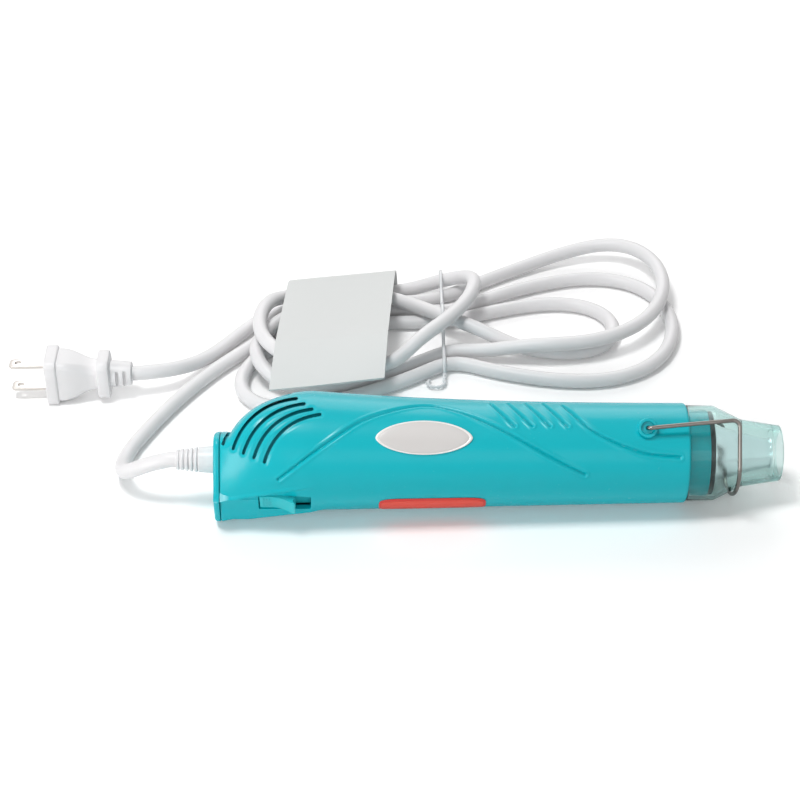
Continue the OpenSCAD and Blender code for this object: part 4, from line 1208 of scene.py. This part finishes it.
def plug_blade(e):
    """One flat blade with a hole near its narrowed end."""
    z = e * BLADE_GAP / 2
    end = PLUG_FACE - BLADE_L
    rings = []
    for x, cut in ((end, 1.2), (end + 1.2, 0), (PLUG_FACE + 6, 0)):
        half = BLADE_W / 2 - cut
        low = z - BLADE_T / 2
        high = z + BLADE_T / 2
        rings.append([(x, -half, low), (x, half, low), (x, half, high), (x, -half, high)])
    blade = build("plug_blade_%d" % (e + 1), *loft(rings))
    soften(blade, 0.25, 30, 2)
    combine(blade, [cylinder((end + 4, 0, z - 3), (end + 4, 0, z + 3), 1.6, 32)], "DIFFERENCE")
    set_down(blade, PLUG)
    dress(blade, "steel", look=plated)
    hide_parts("plug_blades")
    return blade


def set_down(obj, place):
    """Moves a piece that is drawn about a point of the lead's route to that point."""
    obj.data.transform(Matrix.Translation(on_table(place)) @ Matrix.Scale(MM, 4))


def tag():
    """Folded paper flag that hangs over the lead."""
    line = through(TAG_LINE, 6)
    run = run_along(line)
    run /= run[-1]
    across = [i / 24 for i in range(25)]
    rings = []
    for q, d, v in zip(line, directions(line), run):
        ring = []
        for lift, waved, order in ((0.25, 0, across), (1.15, 0.25, across[::-1])):
            for u in order:
                out = lift + waved * math.sin(5 * u + 3 * v) * smooth(v * 3)
                x = mix(TAG_X[0], TAG_X[1], u) - TAG_LEAN * v
                ring.append((x, q[0] - TAG_SKEW * (1 - u) + out * d[1], q[1] - out * d[0]))
        rings.append(ring)
    obj = build("paper_flag", *loft(rings))
    set_down(obj, (0, 0, 0))
    dress(obj, "paper", sharp=60)
    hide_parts("cord_tag")
    return [obj]


def tie():
    """Thin clear tie round the bundle, its ends twisted together into a hook."""
    points = [on_table((TIE_X, y, z)) for y, z in through(TIE_RING, 8)]
    pieces = [pipe("bundle_tie", points, TIE_WIRE_R, "tie_white", "tool", ["cord_tie"])]
    for k in (0, 1):
        tail = []
        for t in np.linspace(0, 1, 90):
            straight = min(t / 0.25, 1)
            turn = 1.25 * math.pi * max(0.0, t - 0.25) / 0.75
            twist = 9 * math.pi * t + math.pi * k
            x = TIE_X - 4.2 * (1 - math.cos(turn)) + 0.42 * math.cos(twist)
            y = 90.6 - 5.6 * straight - 3.6 * math.sin(turn)
            z = 3.0 - 1.4 * smooth(t / 0.4) + 0.42 * math.sin(twist)
            tail.append(on_table((x, y, z)))
        pieces.append(pipe("tie_tail_%d" % k, tail, TIE_TAIL_R, "tie_white", "tool", ["cord_tie"]))
    return pieces


# The scene

camera()
surroundings()
floor()
lamps()
white = white_pvc()
lead, lead_exit, lead_length = cord(white)
teal = teal_plastic("teal_plastic", srgb(0, 178, 190))
clear = clear_plastic()
steel = metal("bright_steel", srgb(232, 233, 236), 0.2)
# The stand wire's grey is partly its own metal and partly painted shade, darkened for the dark
# reflections the surroundings don't give
wire = metal("stand_wire", srgb(122, 118, 114), 0.12)
plated = metal("plated_blades", srgb(214, 209, 204), 0.34)
dark = plain("black_insulator", srgb(20, 20, 22), 0.45)
mica = plain("mica", srgb(190, 172, 140), 0.5, 120, 0.3)
# Darker copy of the body's teal for the collar inside the guard: painted shade
shaded_collar_teal = teal_plastic("collar_plastic", srgb(0, 148, 158))
light_teal = teal_plastic("thumb_plastic", srgb(40, 190, 198))
light = plain("light_plate", srgb(206, 203, 201), 0.4)
rim_light = plain("light_rim", srgb(236, 233, 230), 0.3)
red = plain("red_strip", srgb(214, 50, 40), 0.45)
red_field = plain("red_field", srgb(228, 78, 62), 0.5)
paper = plain("paper", srgb(214, 216, 215), 0.75, 200, 0.2)
green = plain("board", srgb(30, 110, 60), 0.5)
tie_film = plain("tie_film", srgb(222, 224, 226), 0.2, 200, 0.1)
# Darker teal of the sheet behind the cooling slots: painted shade for the housing's unlit inside
vent_shade = plain("vent_shade_sheet", srgb(0, 138, 148), 0.6, 900, 0.4)

FINISH = {
    "teal_body": teal, "clear_guard": clear, "steel": steel, "stand_wire": wire,
    "dark_insulator": dark, "mica": mica, "resistance_wire": steel, "copper": plated,
    "fan_plastic": dark, "board": green, "cord_white": white, "wire_black": dark,
    "plate_light": light, "strip_red": red, "paper": paper, "tie_white": tie_film,
}
slots = {s["node"]: s["material_slot"] for s in record["subparts"]}
for node, obj in frame["nodes"].items():
    for place in obj.material_slots:
        place.material = FINISH[slots[node]]

on_lead = plug() + tag() + tie()
for side, side_name in SIDES:
    housing(side, side_name)
    boss_ring(side, side_name)
for side, side_name in SIDES:
    vent_shade_sheet(side, side_name)
rear_cap()
nozzle()
stand()
switch()
badge()
label()
strain_relief()
